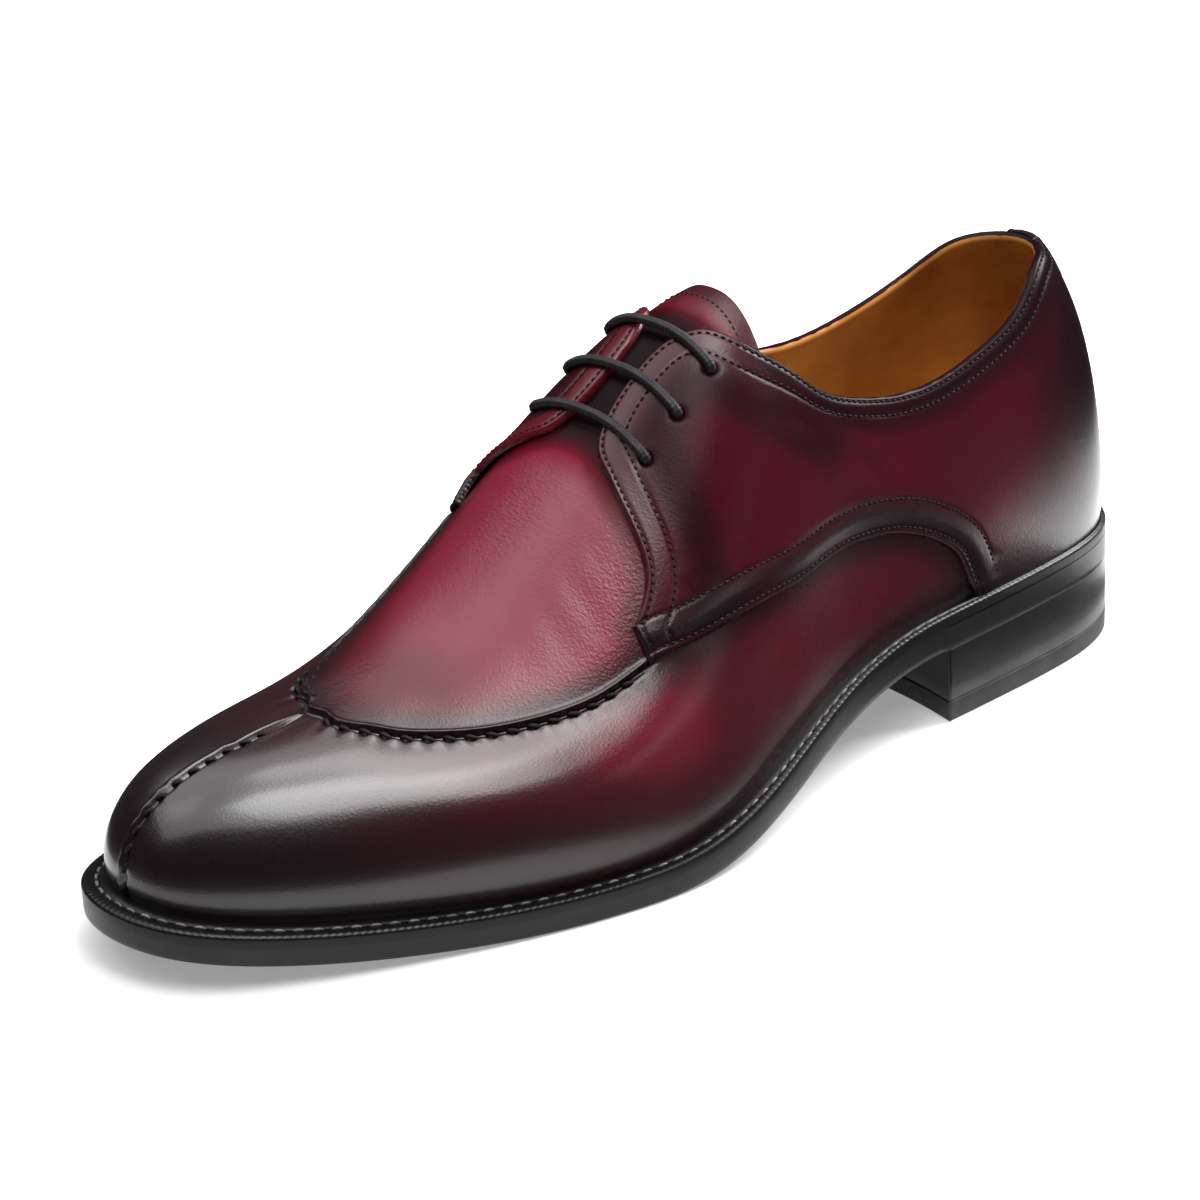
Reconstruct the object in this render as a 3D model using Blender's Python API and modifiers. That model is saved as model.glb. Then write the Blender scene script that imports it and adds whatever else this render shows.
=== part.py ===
"""Apron toe derby, a left shoe of about men's EU 42, as an assembly of its maker's pieces.

The upper is worked out as a last: a feather line, a ridge, and between them one
arched section at each station along the foot. Sizes are millimetres here and become
metres when a mesh is made. +X points to the toe, +Y to the wearer's left (the outer,
lateral side), +Z up; the shoe stands on Z = 0.
"""
import math

import bmesh
import bpy
import numpy as np
from mathutils import Matrix, Vector

MM = 0.001
GAP = 0.3

# Driving dimensions of the shoe
SOLE_LENGTH = 298.0
BALL_WIDTH = 103.0
INSTEP_HEIGHT = 118.5
HEEL_HEIGHT = 19.4
HEEL_PITCH = 0.02
HEEL_BREAST = 79.5
BREAST_BOW = 3.0
TOP_PIECE = 5.0
TREAD_START = 190.0
TREAD_END = 205.0
TOE_SPRING = 9.3
EDGE_FOREPART = 7.8
EDGE_HEEL = 9.8
EDGE_TAPER_START = 75.0
EDGE_TAPER_END = 200.0
WELT = 3.0
WELT_UNDER_UPPER = 1.6
INSOLE_ABOVE_WELT = 3.0
INSOLE_INSET = 2.1

# Leather and lace
WALL = 1.2
QUARTER = 1.5
TONGUE = 1.2
TONGUE_DROP = 0.4
TONGUE_SIDE_GAP = 0.01
LIP_HEIGHT = 1.0
LIP_TURN = 0.014
LACE_RADIUS = 1.3
EYELET_RADIUS = 1.8

# Sole edge: share of the length, then lateral and medial half width as shares of the ball width
SOLE_EDGE = [
    # along, lateral, medial
    (0.000, 0.010, 0.010),
    (0.037, 0.204, -0.209),
    (0.134, 0.286, -0.320),
    (0.258, 0.311, -0.291),
    (0.379, 0.354, -0.277),
    (0.503, 0.466, -0.379),
    (0.604, 0.510, -0.481),
    (0.718, 0.451, -0.505),
    (0.815, 0.354, -0.485),
    (0.909, 0.233, -0.413),
    (0.980, 0.078, -0.277),
    (1.000, -0.105, -0.105),
]

# How far the welt stands out past the feather line
WELT_SHOW = [
    # along, width
    (0.00, 3.0), (0.13, 3.0), (0.27, 3.2), (0.40, 3.6), (0.54, 4.6), (0.67, 5.6), (0.84, 6.2), (1.00, 6.8),
]

# The last: one row for each section along the foot
LAST = [
    # along, ridge height and side, lateral round and rise, medial round and rise, lateral and medial bulge
    (0.000, 0.954, 0.000, 0.76, 1.00, 0.76, 1.00, 0.8, 0.8),
    (0.101, 0.954, 0.000, 0.76, 1.00, 0.76, 1.00, 0.8, 0.8),
    (0.201, 0.962, 0.000, 0.88, 1.00, 0.88, 1.00, 1.5, 2.0),
    (0.302, 0.987, -0.010, 0.92, 0.95, 0.88, 0.72, 1.5, 4.0),
    (0.369, 1.000, -0.015, 0.90, 0.90, 0.80, 0.52, 1.0, 5.0),
    (0.436, 0.966, -0.015, 0.88, 0.90, 0.75, 0.44, 1.0, 4.5),
    (0.503, 0.869, -0.015, 0.88, 1.00, 0.75, 0.44, 1.2, 3.0),
    (0.570, 0.734, -0.019, 0.92, 1.15, 0.78, 0.54, 1.5, 2.0),
    (0.638, 0.591, -0.029, 0.95, 1.15, 0.82, 0.64, 1.8, 1.8),
    (0.705, 0.473, -0.049, 0.92, 1.05, 0.82, 0.72, 2.0, 2.2),
    (0.789, 0.401, -0.083, 0.85, 0.95, 0.76, 0.80, 2.0, 2.7),
    (0.872, 0.380, -0.101, 0.65, 0.95, 0.55, 0.90, 2.0, 2.7),
    (0.980, 0.371, -0.105, 0.46, 1.00, 0.46, 1.00, 1.5, 1.5),
]
TOE_FAN_START = 190.0
TOE_POLE = 222.0
HEEL_FAN_START = 75.0
HEEL_POLE = 40.0
POLE_TILT_REACH = 18.0
BULGE_RISE = 0.33
BULGE_FADE = 0.6

# Pattern lines: foot of the section in mm, and the turn of the section from feather (0) to ridge (1)
SEAM_LINE = [
    # foot, turn
    (69.6, 0.040), (72.5, 0.085), (77.0, 0.122), (85.5, 0.158), (97.0, 0.186), (121.5, 0.216), (135.0, 0.246),
    (157.0, 0.352), (170.0, 0.415), (179.0, 0.452), (191.0, 0.468), (207.5, 0.512), (224.0, 0.577),
    (242.5, 0.682), (254.5, 0.777), (272.0, 0.888), (286.0, 0.952), (291.3, 0.962),
]
COLLAR_LINE = [
    # foot, turn
    (3.0, 0.720), (20.0, 0.685), (38.0, 0.575), (60.0, 0.497), (85.0, 0.452), (106.5, 0.485),
    (117.0, 0.571), (127.0, 0.723), (133.0, 0.872), (137.0, 0.925),
]
FACING_LINE = [
    # foot, turn
    (137.0, 0.925), (144.0, 0.962), (156.0, 0.962), (164.0, 0.925), (167.0, 0.855), (169.0, 0.756),
    (170.5, 0.640), (172.5, 0.584), (175.5, 0.555), (179.0, 0.534),
]
APRON_ROW_LINE = [
    # foot, turn: where the row that leaves the facing tip runs on over the apron
    (179.0, 0.534), (184.5, 0.560), (196.0, 0.620), (210.0, 0.690), (235.0, 0.830), (260.0, 0.925),
    (280.0, 0.968), (291.3, 0.985),
]
TONGUE_EDGE_LINE = [
    # foot, share of the way from seam to facing
    (3.0, 0.50), (95.0, 0.55), (121.5, 0.93), (135.0, 0.72), (150.0, 0.60), (166.0, 0.50), (291.3, 0.50),
]
MEDIAL_RAISE = [
    # foot, turn that the medial seam lies above the lateral seam's height
    (125.0, 0.000), (138.0, 0.012), (150.0, 0.050), (160.0, 0.120), (170.0, 0.200), (179.0, 0.250),
    (198.0, 0.200), (222.0, 0.130), (246.0, 0.105), (270.0, 0.055), (291.3, 0.000),
]
SEAM_END = 69.6
TONGUE_TOP = 121.5
FACING_CORNER = 137.0
THROAT = 166.0
FACING_TIP = 179.0
EYELET_FEET = [138.3, 149.7, 160.0]
EYELET_TURN = 0.767
LACE_BEND_TURN = 0.03
LACE_CREST_TURN = 0.96

# Mesh density
FOOT_COLUMNS = 36
TOE_SEAM_STEP = 0.009
COLUMN_CLEARANCE = 1.3
WING_ROWS = 5
QUARTER_ROWS = 2
FLAP_ROWS = 3
RIDGE_ROWS = 5
POLE_MERGE = 0.45
POLE_REACH = 21.0
NORMAL_STEP = 0.004
OUTLINE_SAMPLES = 4000
SOLE_STATIONS = 40
WELT_POINTS = 84
LACE_HALF_POINTS = 5
EYELET_SIDES = 10
SOLE_BEVEL = 0.5

COLOURS = {
    # node family: linear colour, roughness
    "upper": ((0.085, 0.012, 0.020), 0.30),
    "tongue": ((0.110, 0.018, 0.026), 0.35),
    "insole": ((0.420, 0.190, 0.060), 0.60),
    "welt": ((0.012, 0.011, 0.012), 0.45),
    "outsole": ((0.016, 0.014, 0.015), 0.45),
    "heel_stack": ((0.014, 0.013, 0.014), 0.40),
    "heel_top_piece": ((0.010, 0.010, 0.010), 0.70),
    "lace": ((0.012, 0.011, 0.011), 0.55),
}


# Curves and outlines
def spline(xs, ys):
    """Natural cubic through a table's rows, held level past its ends."""
    xs = np.asarray(xs, float)
    ys = np.asarray(ys, float)
    step = np.diff(xs)
    count = len(xs)
    system = np.eye(count)
    right = np.zeros(count)
    for i in range(1, count - 1):
        system[i, i - 1:i + 2] = step[i - 1], 2 * (step[i - 1] + step[i]), step[i]
        right[i] = 6 * ((ys[i + 1] - ys[i]) / step[i] - (ys[i] - ys[i - 1]) / step[i - 1])
    bend = np.linalg.solve(system, right)

    def value(q):
        q = np.clip(q, xs[0], xs[-1])
        i = np.clip(np.searchsorted(xs, q) - 1, 0, count - 2)
        after = q - xs[i]
        before = xs[i + 1] - q
        cubic = (bend[i] * before ** 3 + bend[i + 1] * after ** 3) / (6 * step[i])
        start = (ys[i] / step[i] - bend[i] * step[i] / 6) * before
        end = (ys[i + 1] / step[i] - bend[i + 1] * step[i] / 6) * after
        return cubic + start + end

    return value


def centripetal(points):
    """Parameter values that grow with the square root of the distance between points."""
    return np.r_[0, np.cumsum(np.sqrt(np.linalg.norm(np.diff(points, axis=0), axis=1)))]


def line(rows, scale=300.0):
    """A smooth pattern line through (foot, turn) rows, read back by foot; a whole turn weighs as scale mm."""
    points = np.array(rows, float)
    t = centripetal(points * (1.0, scale))
    dense = np.linspace(0, t[-1], 600)
    feet = np.maximum.accumulate(spline(t, points[:, 0])(dense))
    turns = spline(t, points[:, 1])(dense)
    return lambda x: np.interp(x, feet, turns)


def closed_edge(rows):
    """Sample the sole edge as one closed smooth curve: heel, lateral side, toe, medial side."""
    table = np.array(rows) * (SOLE_LENGTH, BALL_WIDTH, BALL_WIDTH)
    loop = np.vstack([table[:, [0, 1]], table[-2:0:-1][:, [0, 2]]])
    turns = np.vstack([loop, loop, loop, loop[:1]])
    t = centripetal(turns)
    first = t[len(loop)]
    last = t[2 * len(loop)]
    u = np.linspace(first, last, OUTLINE_SAMPLES, endpoint=False)
    return np.stack([spline(t, turns[:, 0])(u), spline(t, turns[:, 1])(u)], -1)


EDGE = closed_edge(SOLE_EDGE)
SHOW = spline([row[0] * SOLE_LENGTH for row in WELT_SHOW], [row[1] for row in WELT_SHOW])


def inset_loop(extra):
    """The sole edge moved in to the feather line, and further in by extra."""
    ahead = np.roll(EDGE, -1, axis=0) - np.roll(EDGE, 1, axis=0)
    ahead /= np.linalg.norm(ahead, axis=1, keepdims=True)
    inward = np.stack([ahead[:, 1], -ahead[:, 0]], -1)
    return EDGE + inward * (SHOW(EDGE[:, 0]) + extra)[:, None]


class Outline:
    """A closed loop split at heel and toe, read as half widths at a foot position."""

    def __init__(self, loop):
        heel = int(np.argmin(loop[:, 0]))
        loop = np.roll(loop, -heel, axis=0)
        toe = int(np.argmax(loop[:, 0]))
        self.heel = loop[0, 0]
        self.toe = loop[toe, 0]
        medial = np.vstack([loop[toe:], loop[:1]])[::-1]
        self.sides = {1: loop[:toe + 1], -1: medial}

    def y(self, side, x):
        points = self.sides[side]
        return np.interp(x, points[:, 0], points[:, 1])

    def stations(self, count, end=None):
        """Foot positions, close together at heel and toe where the outline turns."""
        share = (1 - np.cos(np.linspace(0, math.pi, count))) / 2
        xs = self.heel + (self.toe - self.heel) * share
        return xs if end is None else np.r_[xs[xs < end - COLUMN_CLEARANCE], end]


SOLE = Outline(EDGE)
FEATHER = Outline(inset_loop(0.0))


def smooth_step(q):
    q = np.clip(q, 0, 1)
    return q * q * (3 - 2 * q)


def sole_bottom(x):
    """Underside of the outsole: heel seat, shank curve, flat tread and toe spring."""
    shank = HEEL_HEIGHT * (1 - smooth_step((x - HEEL_BREAST) / (TREAD_START - HEEL_BREAST)))
    seat = HEEL_HEIGHT + (HEEL_BREAST - x) * HEEL_PITCH
    spring = TOE_SPRING * np.clip((x - TREAD_END) / (SOLE_LENGTH - TREAD_END), 0, None) ** 2
    return np.where(x < HEEL_BREAST, seat, shank) + spring


def feather_height(x):
    """Top of the welt, where the upper leaves the sole."""
    heel_share = np.clip((EDGE_TAPER_END - x) / (EDGE_TAPER_END - EDGE_TAPER_START), 0, 1)
    return sole_bottom(x) + EDGE_FOREPART + (EDGE_HEEL - EDGE_FOREPART) * heel_share


# The last
ROWS = np.array(LAST).T
STATION = ROWS[0] * SOLE_LENGTH
RIDGE_Z = spline(STATION, ROWS[1] * INSTEP_HEIGHT)
RIDGE_Y = spline(STATION, ROWS[2] * BALL_WIDTH)
ROUND = {1: spline(STATION, ROWS[3]), -1: spline(STATION, ROWS[5])}
RISE = {1: spline(STATION, ROWS[4]), -1: spline(STATION, ROWS[6])}
BULGE = {1: spline(STATION, ROWS[7]), -1: spline(STATION, ROWS[8])}


def fan(x, start, end, pole):
    """Ease a foot position between start and end onto a ridge that stops at the pole."""
    reach = (end - start) / (pole - start)
    power = reach / (reach - 1)
    q = np.clip((x - start) / (end - start), 0, 1)
    return start + (pole - start) * (reach * q - (reach - 1) * q ** power)


def ridge_station(x):
    """Where on the ridge the section that stands on foot position x ends."""
    toe = np.where(x > TOE_FAN_START, fan(x, TOE_FAN_START, FEATHER.toe, TOE_POLE), x)
    return np.where(x < HEEL_FAN_START, fan(x, HEEL_FAN_START, FEATHER.heel, HEEL_POLE), toe)


def last_point(side, foot, turn):
    """A point of the last: foot position along the feather, turn from feather (0) to ridge (1)."""
    foot = np.asarray(foot, float)
    top_x = ridge_station(foot)
    top_y = RIDGE_Y(top_x)
    base_z = feather_height(foot)
    reach_x = foot - top_x
    reach_y = FEATHER.y(side, foot) - top_y
    reach = np.hypot(reach_x, reach_y)
    angle = np.asarray(turn) * math.pi / 2
    rise = np.clip(np.sin(angle), 0, 1) ** RISE[side](foot)
    out = np.clip(np.cos(angle), 0, 1) ** ROUND[side](foot)
    swell = rise / BULGE_RISE
    fade = 1 - smooth_step((rise - BULGE_FADE) / (1 - BULGE_FADE))
    swell = BULGE[side](foot) * swell * np.exp(1 - swell) * fade
    x = top_x + reach_x * (out + swell / reach)
    y = top_y + reach_y * (out + swell / reach)
    slope = (RIDGE_Z(top_x + 1) - RIDGE_Z(top_x - 1)) / 2
    tilt = slope * POLE_TILT_REACH * np.tanh((x - top_x) / POLE_TILT_REACH) * rise ** 2
    return np.stack([x, y, base_z + (RIDGE_Z(top_x) - base_z) * rise + tilt], -1)


seam_turn = line(SEAM_LINE)
medial_raise = spline([foot for foot, turn in MEDIAL_RAISE], [turn for foot, turn in MEDIAL_RAISE])


def medial_level(foot, turn):
    """Carry a lateral pattern line to the medial side at the same share of the section's height."""
    share = np.sin(np.asarray(turn) * math.pi / 2) ** (RISE[1](foot) / RISE[-1](foot))
    return np.arcsin(share) * 2 / math.pi


def turn_on(side, foot, turn):
    """A pattern line on either side; the medial lines are drawn up along with the medial seam."""
    if side > 0:
        return turn
    level = medial_level(foot, turn)
    seam = medial_level(foot, seam_turn(foot))
    pull = np.where(level < seam, level / seam, (1 - level) / (1 - seam))
    return level + medial_raise(foot) * pull


collar_turn = line(COLLAR_LINE)
facing_turn = line(FACING_LINE)
apron_row_turn = line(APRON_ROW_LINE)
tongue_share = line(TONGUE_EDGE_LINE)


def top_turn(foot):
    """Upper edge of the quarter: collar behind the facing corner, facing edge before it."""
    edge = np.where(foot < FACING_CORNER, collar_turn(foot), facing_turn(foot))
    return np.where(foot > FACING_TIP, apron_row_turn(foot), edge)


def tongue_edge_turn(foot):
    low = seam_turn(foot) + LIP_TURN
    return low + (top_turn(foot) - low) * tongue_share(foot)


def round_point(angle, turn):
    """A point of the last by angle round the foot: heel 0, lateral side, toe pi, medial side."""
    foot = FEATHER.heel + (FEATHER.toe - FEATHER.heel) * (1 - math.cos(angle)) / 2
    return last_point(1 if math.sin(angle) >= 0 else -1, foot, turn)


def surface_normal(side, foot, turn):
    """Outward direction of the last, worked out from close neighbours round and up the foot."""
    turn = np.asarray(turn, float)
    share = np.clip((foot - FEATHER.heel) / (FEATHER.toe - FEATHER.heel), 0, 1)
    angle = side * math.acos(1 - 2 * share)
    along = round_point(angle + NORMAL_STEP, turn) - round_point(angle - NORMAL_STEP, turn)
    above = np.minimum(turn + NORMAL_STEP, 1)
    below = np.maximum(turn - NORMAL_STEP, 0)
    up = last_point(side, foot, above) - last_point(side, foot, below)
    normal = np.cross(up, along)
    top_x = ridge_station(foot)
    slope = (RIDGE_Z(top_x + 1) - RIDGE_Z(top_x - 1)) / 2
    crest = np.array([-float(slope), 0.0, 1.0])
    normal = np.where(turn[..., None] > 0.999, crest, normal)
    return normal / np.linalg.norm(normal, axis=-1, keepdims=True)


# Scene helpers
def clear_scene():
    for old in list(bpy.data.objects):
        bpy.data.objects.remove(old, do_unlink=True)
    for old in list(bpy.data.collections):
        bpy.data.collections.remove(old)


def new_collection(name):
    made = bpy.data.collections.new(name)
    bpy.context.scene.collection.children.link(made)
    return made


def leather(name, family):
    colour, roughness = COLOURS[family]
    made = bpy.data.materials.new(name)
    made.use_nodes = True
    shader = made.node_tree.nodes["Principled BSDF"]
    shader.inputs["Base Color"].default_value = (*colour, 1.0)
    shader.inputs["Roughness"].default_value = roughness
    shader.inputs["Metallic"].default_value = 0.0
    made.diffuse_color = (*colour, 1.0)
    return made


clear_scene()
PARTS = new_collection("apron_toe_derby")
CUTTERS = new_collection("cutters")
ORIGIN = bpy.data.objects.new("shoe_origin", None)
ORIGIN.location = (
    -MM * (EDGE[:, 0].min() + EDGE[:, 0].max()) / 2,
    -MM * (EDGE[:, 1].min() + EDGE[:, 1].max()) / 2,
    0.0,
)
PARTS.objects.link(ORIGIN)


def add_solid(name, family, points, faces, pole=None):
    """Turn millimetre points and faces into a closed, smooth object; thin fans close up near a pole."""
    mesh = bpy.data.meshes.new(name)
    body = bmesh.new()
    corners = [body.verts.new([c * MM for c in p]) for p in points]
    for face in faces:
        body.faces.new([corners[i] for i in face])
    if pole is not None:
        near = [v for v in body.verts if np.linalg.norm(np.array(v.co) / MM - pole) < POLE_REACH]
        bmesh.ops.remove_doubles(body, verts=near, dist=POLE_MERGE * MM)
    bmesh.ops.recalc_face_normals(body, faces=body.faces)
    bmesh.ops.triangulate(body, faces=body.faces)
    body.to_mesh(mesh)
    body.free()
    mesh.shade_smooth()
    mesh.set_sharp_from_angle(angle=math.radians(40))
    made = bpy.data.objects.new(name, mesh)
    made.data.materials.append(leather(name + "_finish", family))
    made.parent = ORIGIN
    PARTS.objects.link(made)
    return made


def round_edges(made, width):
    bevel = made.modifiers.new("rounded edge", "BEVEL")
    bevel.width = width * MM
    bevel.segments = 1
    bevel.limit_method = "ANGLE"
    bevel.angle_limit = math.radians(50)


# Sole pieces
def ladder(outline, xs, low, high, bow=0.0):
    """A plate whose rungs run across the foot; bow hollows the front edge of a heel."""
    shares = np.linspace(0, 1, 5 if bow else 2)
    points = []
    rings = []
    for x in xs:
        left = outline.y(1, x)
        right = outline.y(-1, x)
        pointed = abs(left - right) < 1e-6
        ring = []
        for share in shares[:1] if pointed else shares:
            y = left + (right - left) * share
            front = x - bow * (1 - (2 * share - 1) ** 2) * (x == xs[-1])
            ring.append(len(points))
            points.append((front, y, float(low(x))))
            points.append((front, y, float(high(x))))
        rings.append(ring)
    faces = []
    for a, b in zip(rings, rings[1:]):
        pairs = max(len(a), len(b)) - 1
        for i in range(pairs):
            a0, a1 = a[min(i, len(a) - 1)], a[min(i + 1, len(a) - 1)]
            b0, b1 = b[min(i, len(b) - 1)], b[min(i + 1, len(b) - 1)]
            under = list(dict.fromkeys((a0, a1, b1, b0)))
            faces.append(under)
            faces.append([c + 1 for c in reversed(under)])
        for end in (0, -1):
            faces.append((a[end], b[end], b[end] + 1, a[end] + 1))
    for ring in (rings[0], rings[-1]):
        for i, j in zip(ring, ring[1:]):
            faces.append((i, j, j + 1, i + 1))
    return points, faces


def add_sole():
    outsole_top = lambda x: feather_height(x) - WELT - 2 * GAP
    stations = np.unique(np.r_[SOLE.stations(SOLE_STATIONS), TREAD_START, TREAD_END])
    made = add_solid("outsole", "outsole", *ladder(SOLE, stations, sole_bottom, outsole_top))
    round_edges(made, SOLE_BEVEL)

    heel_xs = SOLE.stations(SOLE_STATIONS, HEEL_BREAST)
    stack_low = lambda x: TOP_PIECE + GAP
    stack_high = lambda x: sole_bottom(x) - GAP
    made = add_solid("heel_stack", "heel_stack", *ladder(SOLE, heel_xs, stack_low, stack_high, BREAST_BOW))
    round_edges(made, SOLE_BEVEL)
    made = add_solid("heel_top_piece", "heel_top_piece",
                     *ladder(SOLE, heel_xs, lambda x: 0.0, lambda x: TOP_PIECE, BREAST_BOW))
    round_edges(made, SOLE_BEVEL)

    inside = Outline(inset_loop(INSOLE_INSET))
    insole_low = lambda x: feather_height(x) - WELT - GAP
    insole_high = lambda x: feather_height(x) + INSOLE_ABOVE_WELT
    shape = ladder(inside, inside.stations(SOLE_STATIONS), insole_low, insole_high)
    made = add_solid("insole", "insole", *shape)
    round_edges(made, SOLE_BEVEL)


def add_welt():
    pick = np.linspace(0, OUTLINE_SAMPLES, WELT_POINTS, endpoint=False).astype(int)
    outer = EDGE[pick]
    inner = inset_loop(WELT_UNDER_UPPER)[pick]
    points = []
    for loop, lift in ((outer, -WELT), (outer, 0), (inner, 0), (inner, -WELT)):
        for x, y in loop:
            points.append((x, y, float(feather_height(x)) - GAP + lift))
    faces = []
    for band in range(4):
        for i in range(WELT_POINTS):
            j = (i + 1) % WELT_POINTS
            low = band * WELT_POINTS
            high = (band + 1) % 4 * WELT_POINTS
            faces.append((low + i, low + j, high + j, high + i))
    made = add_solid("welt", "welt", points, faces)
    round_edges(made, SOLE_BEVEL)


# Upper
def upper_columns():
    """Foot positions of the section columns, with one at every corner of the pattern."""
    share = (1 - np.cos(np.linspace(0, math.pi, FOOT_COLUMNS))) / 2
    share = np.r_[share, (1 - math.cos(math.pi * (1 - TOE_SEAM_STEP))) / 2]
    feet = FEATHER.heel + (FEATHER.toe - FEATHER.heel) * share
    lines = [foot for foot, turn in COLLAR_LINE[5:] + FACING_LINE + APRON_ROW_LINE[1:2]]
    corners = np.unique([*lines, SEAM_END, SEAM_END + 3, SEAM_END + 7, TONGUE_TOP, THROAT])
    clear = [f for f in feet if np.abs(corners - f).min() > COLUMN_CLEARANCE]
    return np.unique(np.r_[clear, corners])


def row_turns(side, foot):
    """The rows of one column, from feather to ridge, stopping at every pattern line."""
    seam = float(turn_on(side, foot, seam_turn(foot)))
    lip = float(turn_on(side, foot, seam_turn(foot) + LIP_TURN)) - seam
    edge = float(turn_on(side, foot, tongue_edge_turn(foot)))
    top = float(turn_on(side, foot, top_turn(foot)))
    wing = np.linspace(0, max(seam - lip, 0.8 * seam), WING_ROWS + 1)
    quarter = np.linspace(seam + lip, edge, QUARTER_ROWS, endpoint=False)
    flap = np.linspace(edge, top, FLAP_ROWS, endpoint=False)
    return np.r_[wing, seam, quarter, flap, np.linspace(top, 1, RIDGE_ROWS + 1)]


SEAM_ROW = WING_ROWS + 1
EDGE_ROW = SEAM_ROW + 1 + QUARTER_ROWS
TOP_ROW = EDGE_ROW + FLAP_ROWS
RIDGE_ROW = TOP_ROW + RIDGE_ROWS


def raised_lips(ring_feet):
    """Height of the hand-sewn lip: round the apron, and up the toe from feather to apron."""
    lift = np.zeros((len(ring_feet), RIDGE_ROW + 1))
    lift[ring_feet > FACING_TIP + COLUMN_CLEARANCE, SEAM_ROW] = LIP_HEIGHT
    toe = int(np.argmax(ring_feet))
    lift[toe, 2:SEAM_ROW + 1] = LIP_HEIGHT
    return lift


def has_vamp(low, high, row):
    """Whether the vamp and lining layer covers a cell between two feet, above a row."""
    if row < EDGE_ROW:
        return True
    if row < TOP_ROW:
        return high <= TONGUE_TOP or low >= THROAT
    return low >= THROAT


def has_quarter(low, high, row):
    """Whether the quarter leather lies over a cell between two feet, above a row."""
    if row < SEAM_ROW:
        return high <= SEAM_END
    return row < TOP_ROW and high <= FACING_TIP


def add_upper():
    """Vamp and quarter as two layers of one wall, open at collar, throat and underneath."""
    feet = upper_columns()
    ring_feet = np.r_[feet, feet[-2:0:-1]]
    ring_sides = np.r_[np.ones(len(feet), int), -np.ones(len(feet) - 2, int)]
    count = len(ring_feet)
    ring = np.array([last_point(s, f, row_turns(s, f)) for s, f in zip(ring_sides, ring_feet)])
    normal = np.array([surface_normal(s, f, row_turns(s, f)) for s, f in zip(ring_sides, ring_feet)])
    normal[:, 0, 2] = 0
    lift = raised_lips(ring_feet)
    level = {"inner": -WALL, "middle": 0.0, "outer": QUARTER}
    points = []
    index = {}

    def corner(column, row, layer):
        column %= count
        if row == RIDGE_ROW and ring_sides[column] < 0:
            column = int(np.argmin(np.abs(feet - ring_feet[column])))
        key = (column, row, layer)
        if key not in index:
            height = level[layer] + (lift[column, row] if layer == "middle" else 0.0)
            index[key] = len(points)
            points.append(ring[column, row] + normal[column, row] * height)
        return index[key]

    def covered(column, row):
        low, high = sorted((ring_feet[column % count], ring_feet[(column + 1) % count]))
        if not 0 <= row < RIDGE_ROW:
            return False, False
        return has_vamp(low, high, row), has_quarter(low, high, row)

    faces = []

    def sheet(column, row, layer):
        around = ((column, row), (column + 1, row), (column + 1, row + 1), (column, row + 1))
        faces.append(list(dict.fromkeys(corner(c, r, layer) for c, r in around)))

    def wall(a, b, low, high):
        faces.append((corner(*a, low), corner(*b, low), corner(*b, high), corner(*a, high)))

    for column in range(count):
        for row in range(RIDGE_ROW):
            vamp, quarter = covered(column, row)
            if vamp:
                sheet(column, row, "inner")
            if quarter:
                sheet(column, row, "outer")
            if vamp != quarter:
                sheet(column, row, "middle")
            sides = (
                ((column, row - 1), (column, row), (column + 1, row)),
                ((column, row + 1), (column, row + 1), (column + 1, row + 1)),
                ((column - 1, row), (column, row), (column, row + 1)),
                ((column + 1, row), (column + 1, row), (column + 1, row + 1)),
            )
            for beside, a, b in sides:
                if beside[1] == RIDGE_ROW:
                    continue
                next_vamp, next_quarter = covered(*beside)
                if vamp and not next_vamp:
                    wall(a, b, "inner", "middle")
                if quarter and not next_quarter:
                    wall(a, b, "middle", "outer")
    made = add_solid("upper", "upper", points, faces, last_point(1, FEATHER.toe, 1.0))
    punch_eyelets(made)


def eyelet(side, foot):
    """Place and direction of one lace hole."""
    turn = float(turn_on(side, foot, EYELET_TURN))
    return last_point(side, foot, turn), surface_normal(side, foot, turn)


def punch_eyelets(upper):
    mesh = bpy.data.meshes.new("eyelet_punches")
    body = bmesh.new()
    for foot in EYELET_FEET:
        for side in (1, -1):
            place, direction = eyelet(side, foot)
            radius = EYELET_RADIUS * MM
            made = bmesh.ops.create_cone(body, cap_ends=True, segments=EYELET_SIDES, radius1=radius,
                                         radius2=radius, depth=4 * QUARTER * MM)
            turn_to_axis(body, made["verts"], direction, (place + direction * QUARTER / 2) * MM)
    body.to_mesh(mesh)
    body.free()
    punches = bpy.data.objects.new("eyelet_punches", mesh)
    punches.parent = ORIGIN
    punches.hide_render = True
    punches.display_type = "WIRE"
    CUTTERS.objects.link(punches)
    cut = upper.modifiers.new("lace holes", "BOOLEAN")
    cut.operation = "DIFFERENCE"
    cut.solver = "EXACT"
    cut.object = punches


def turn_to_axis(body, verts, direction, place):
    spin = Vector((0, 0, 1)).rotation_difference(Vector(direction)).to_matrix().to_4x4()
    bmesh.ops.transform(body, matrix=Matrix.Translation(Vector(place)) @ spin, verts=verts)


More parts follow.
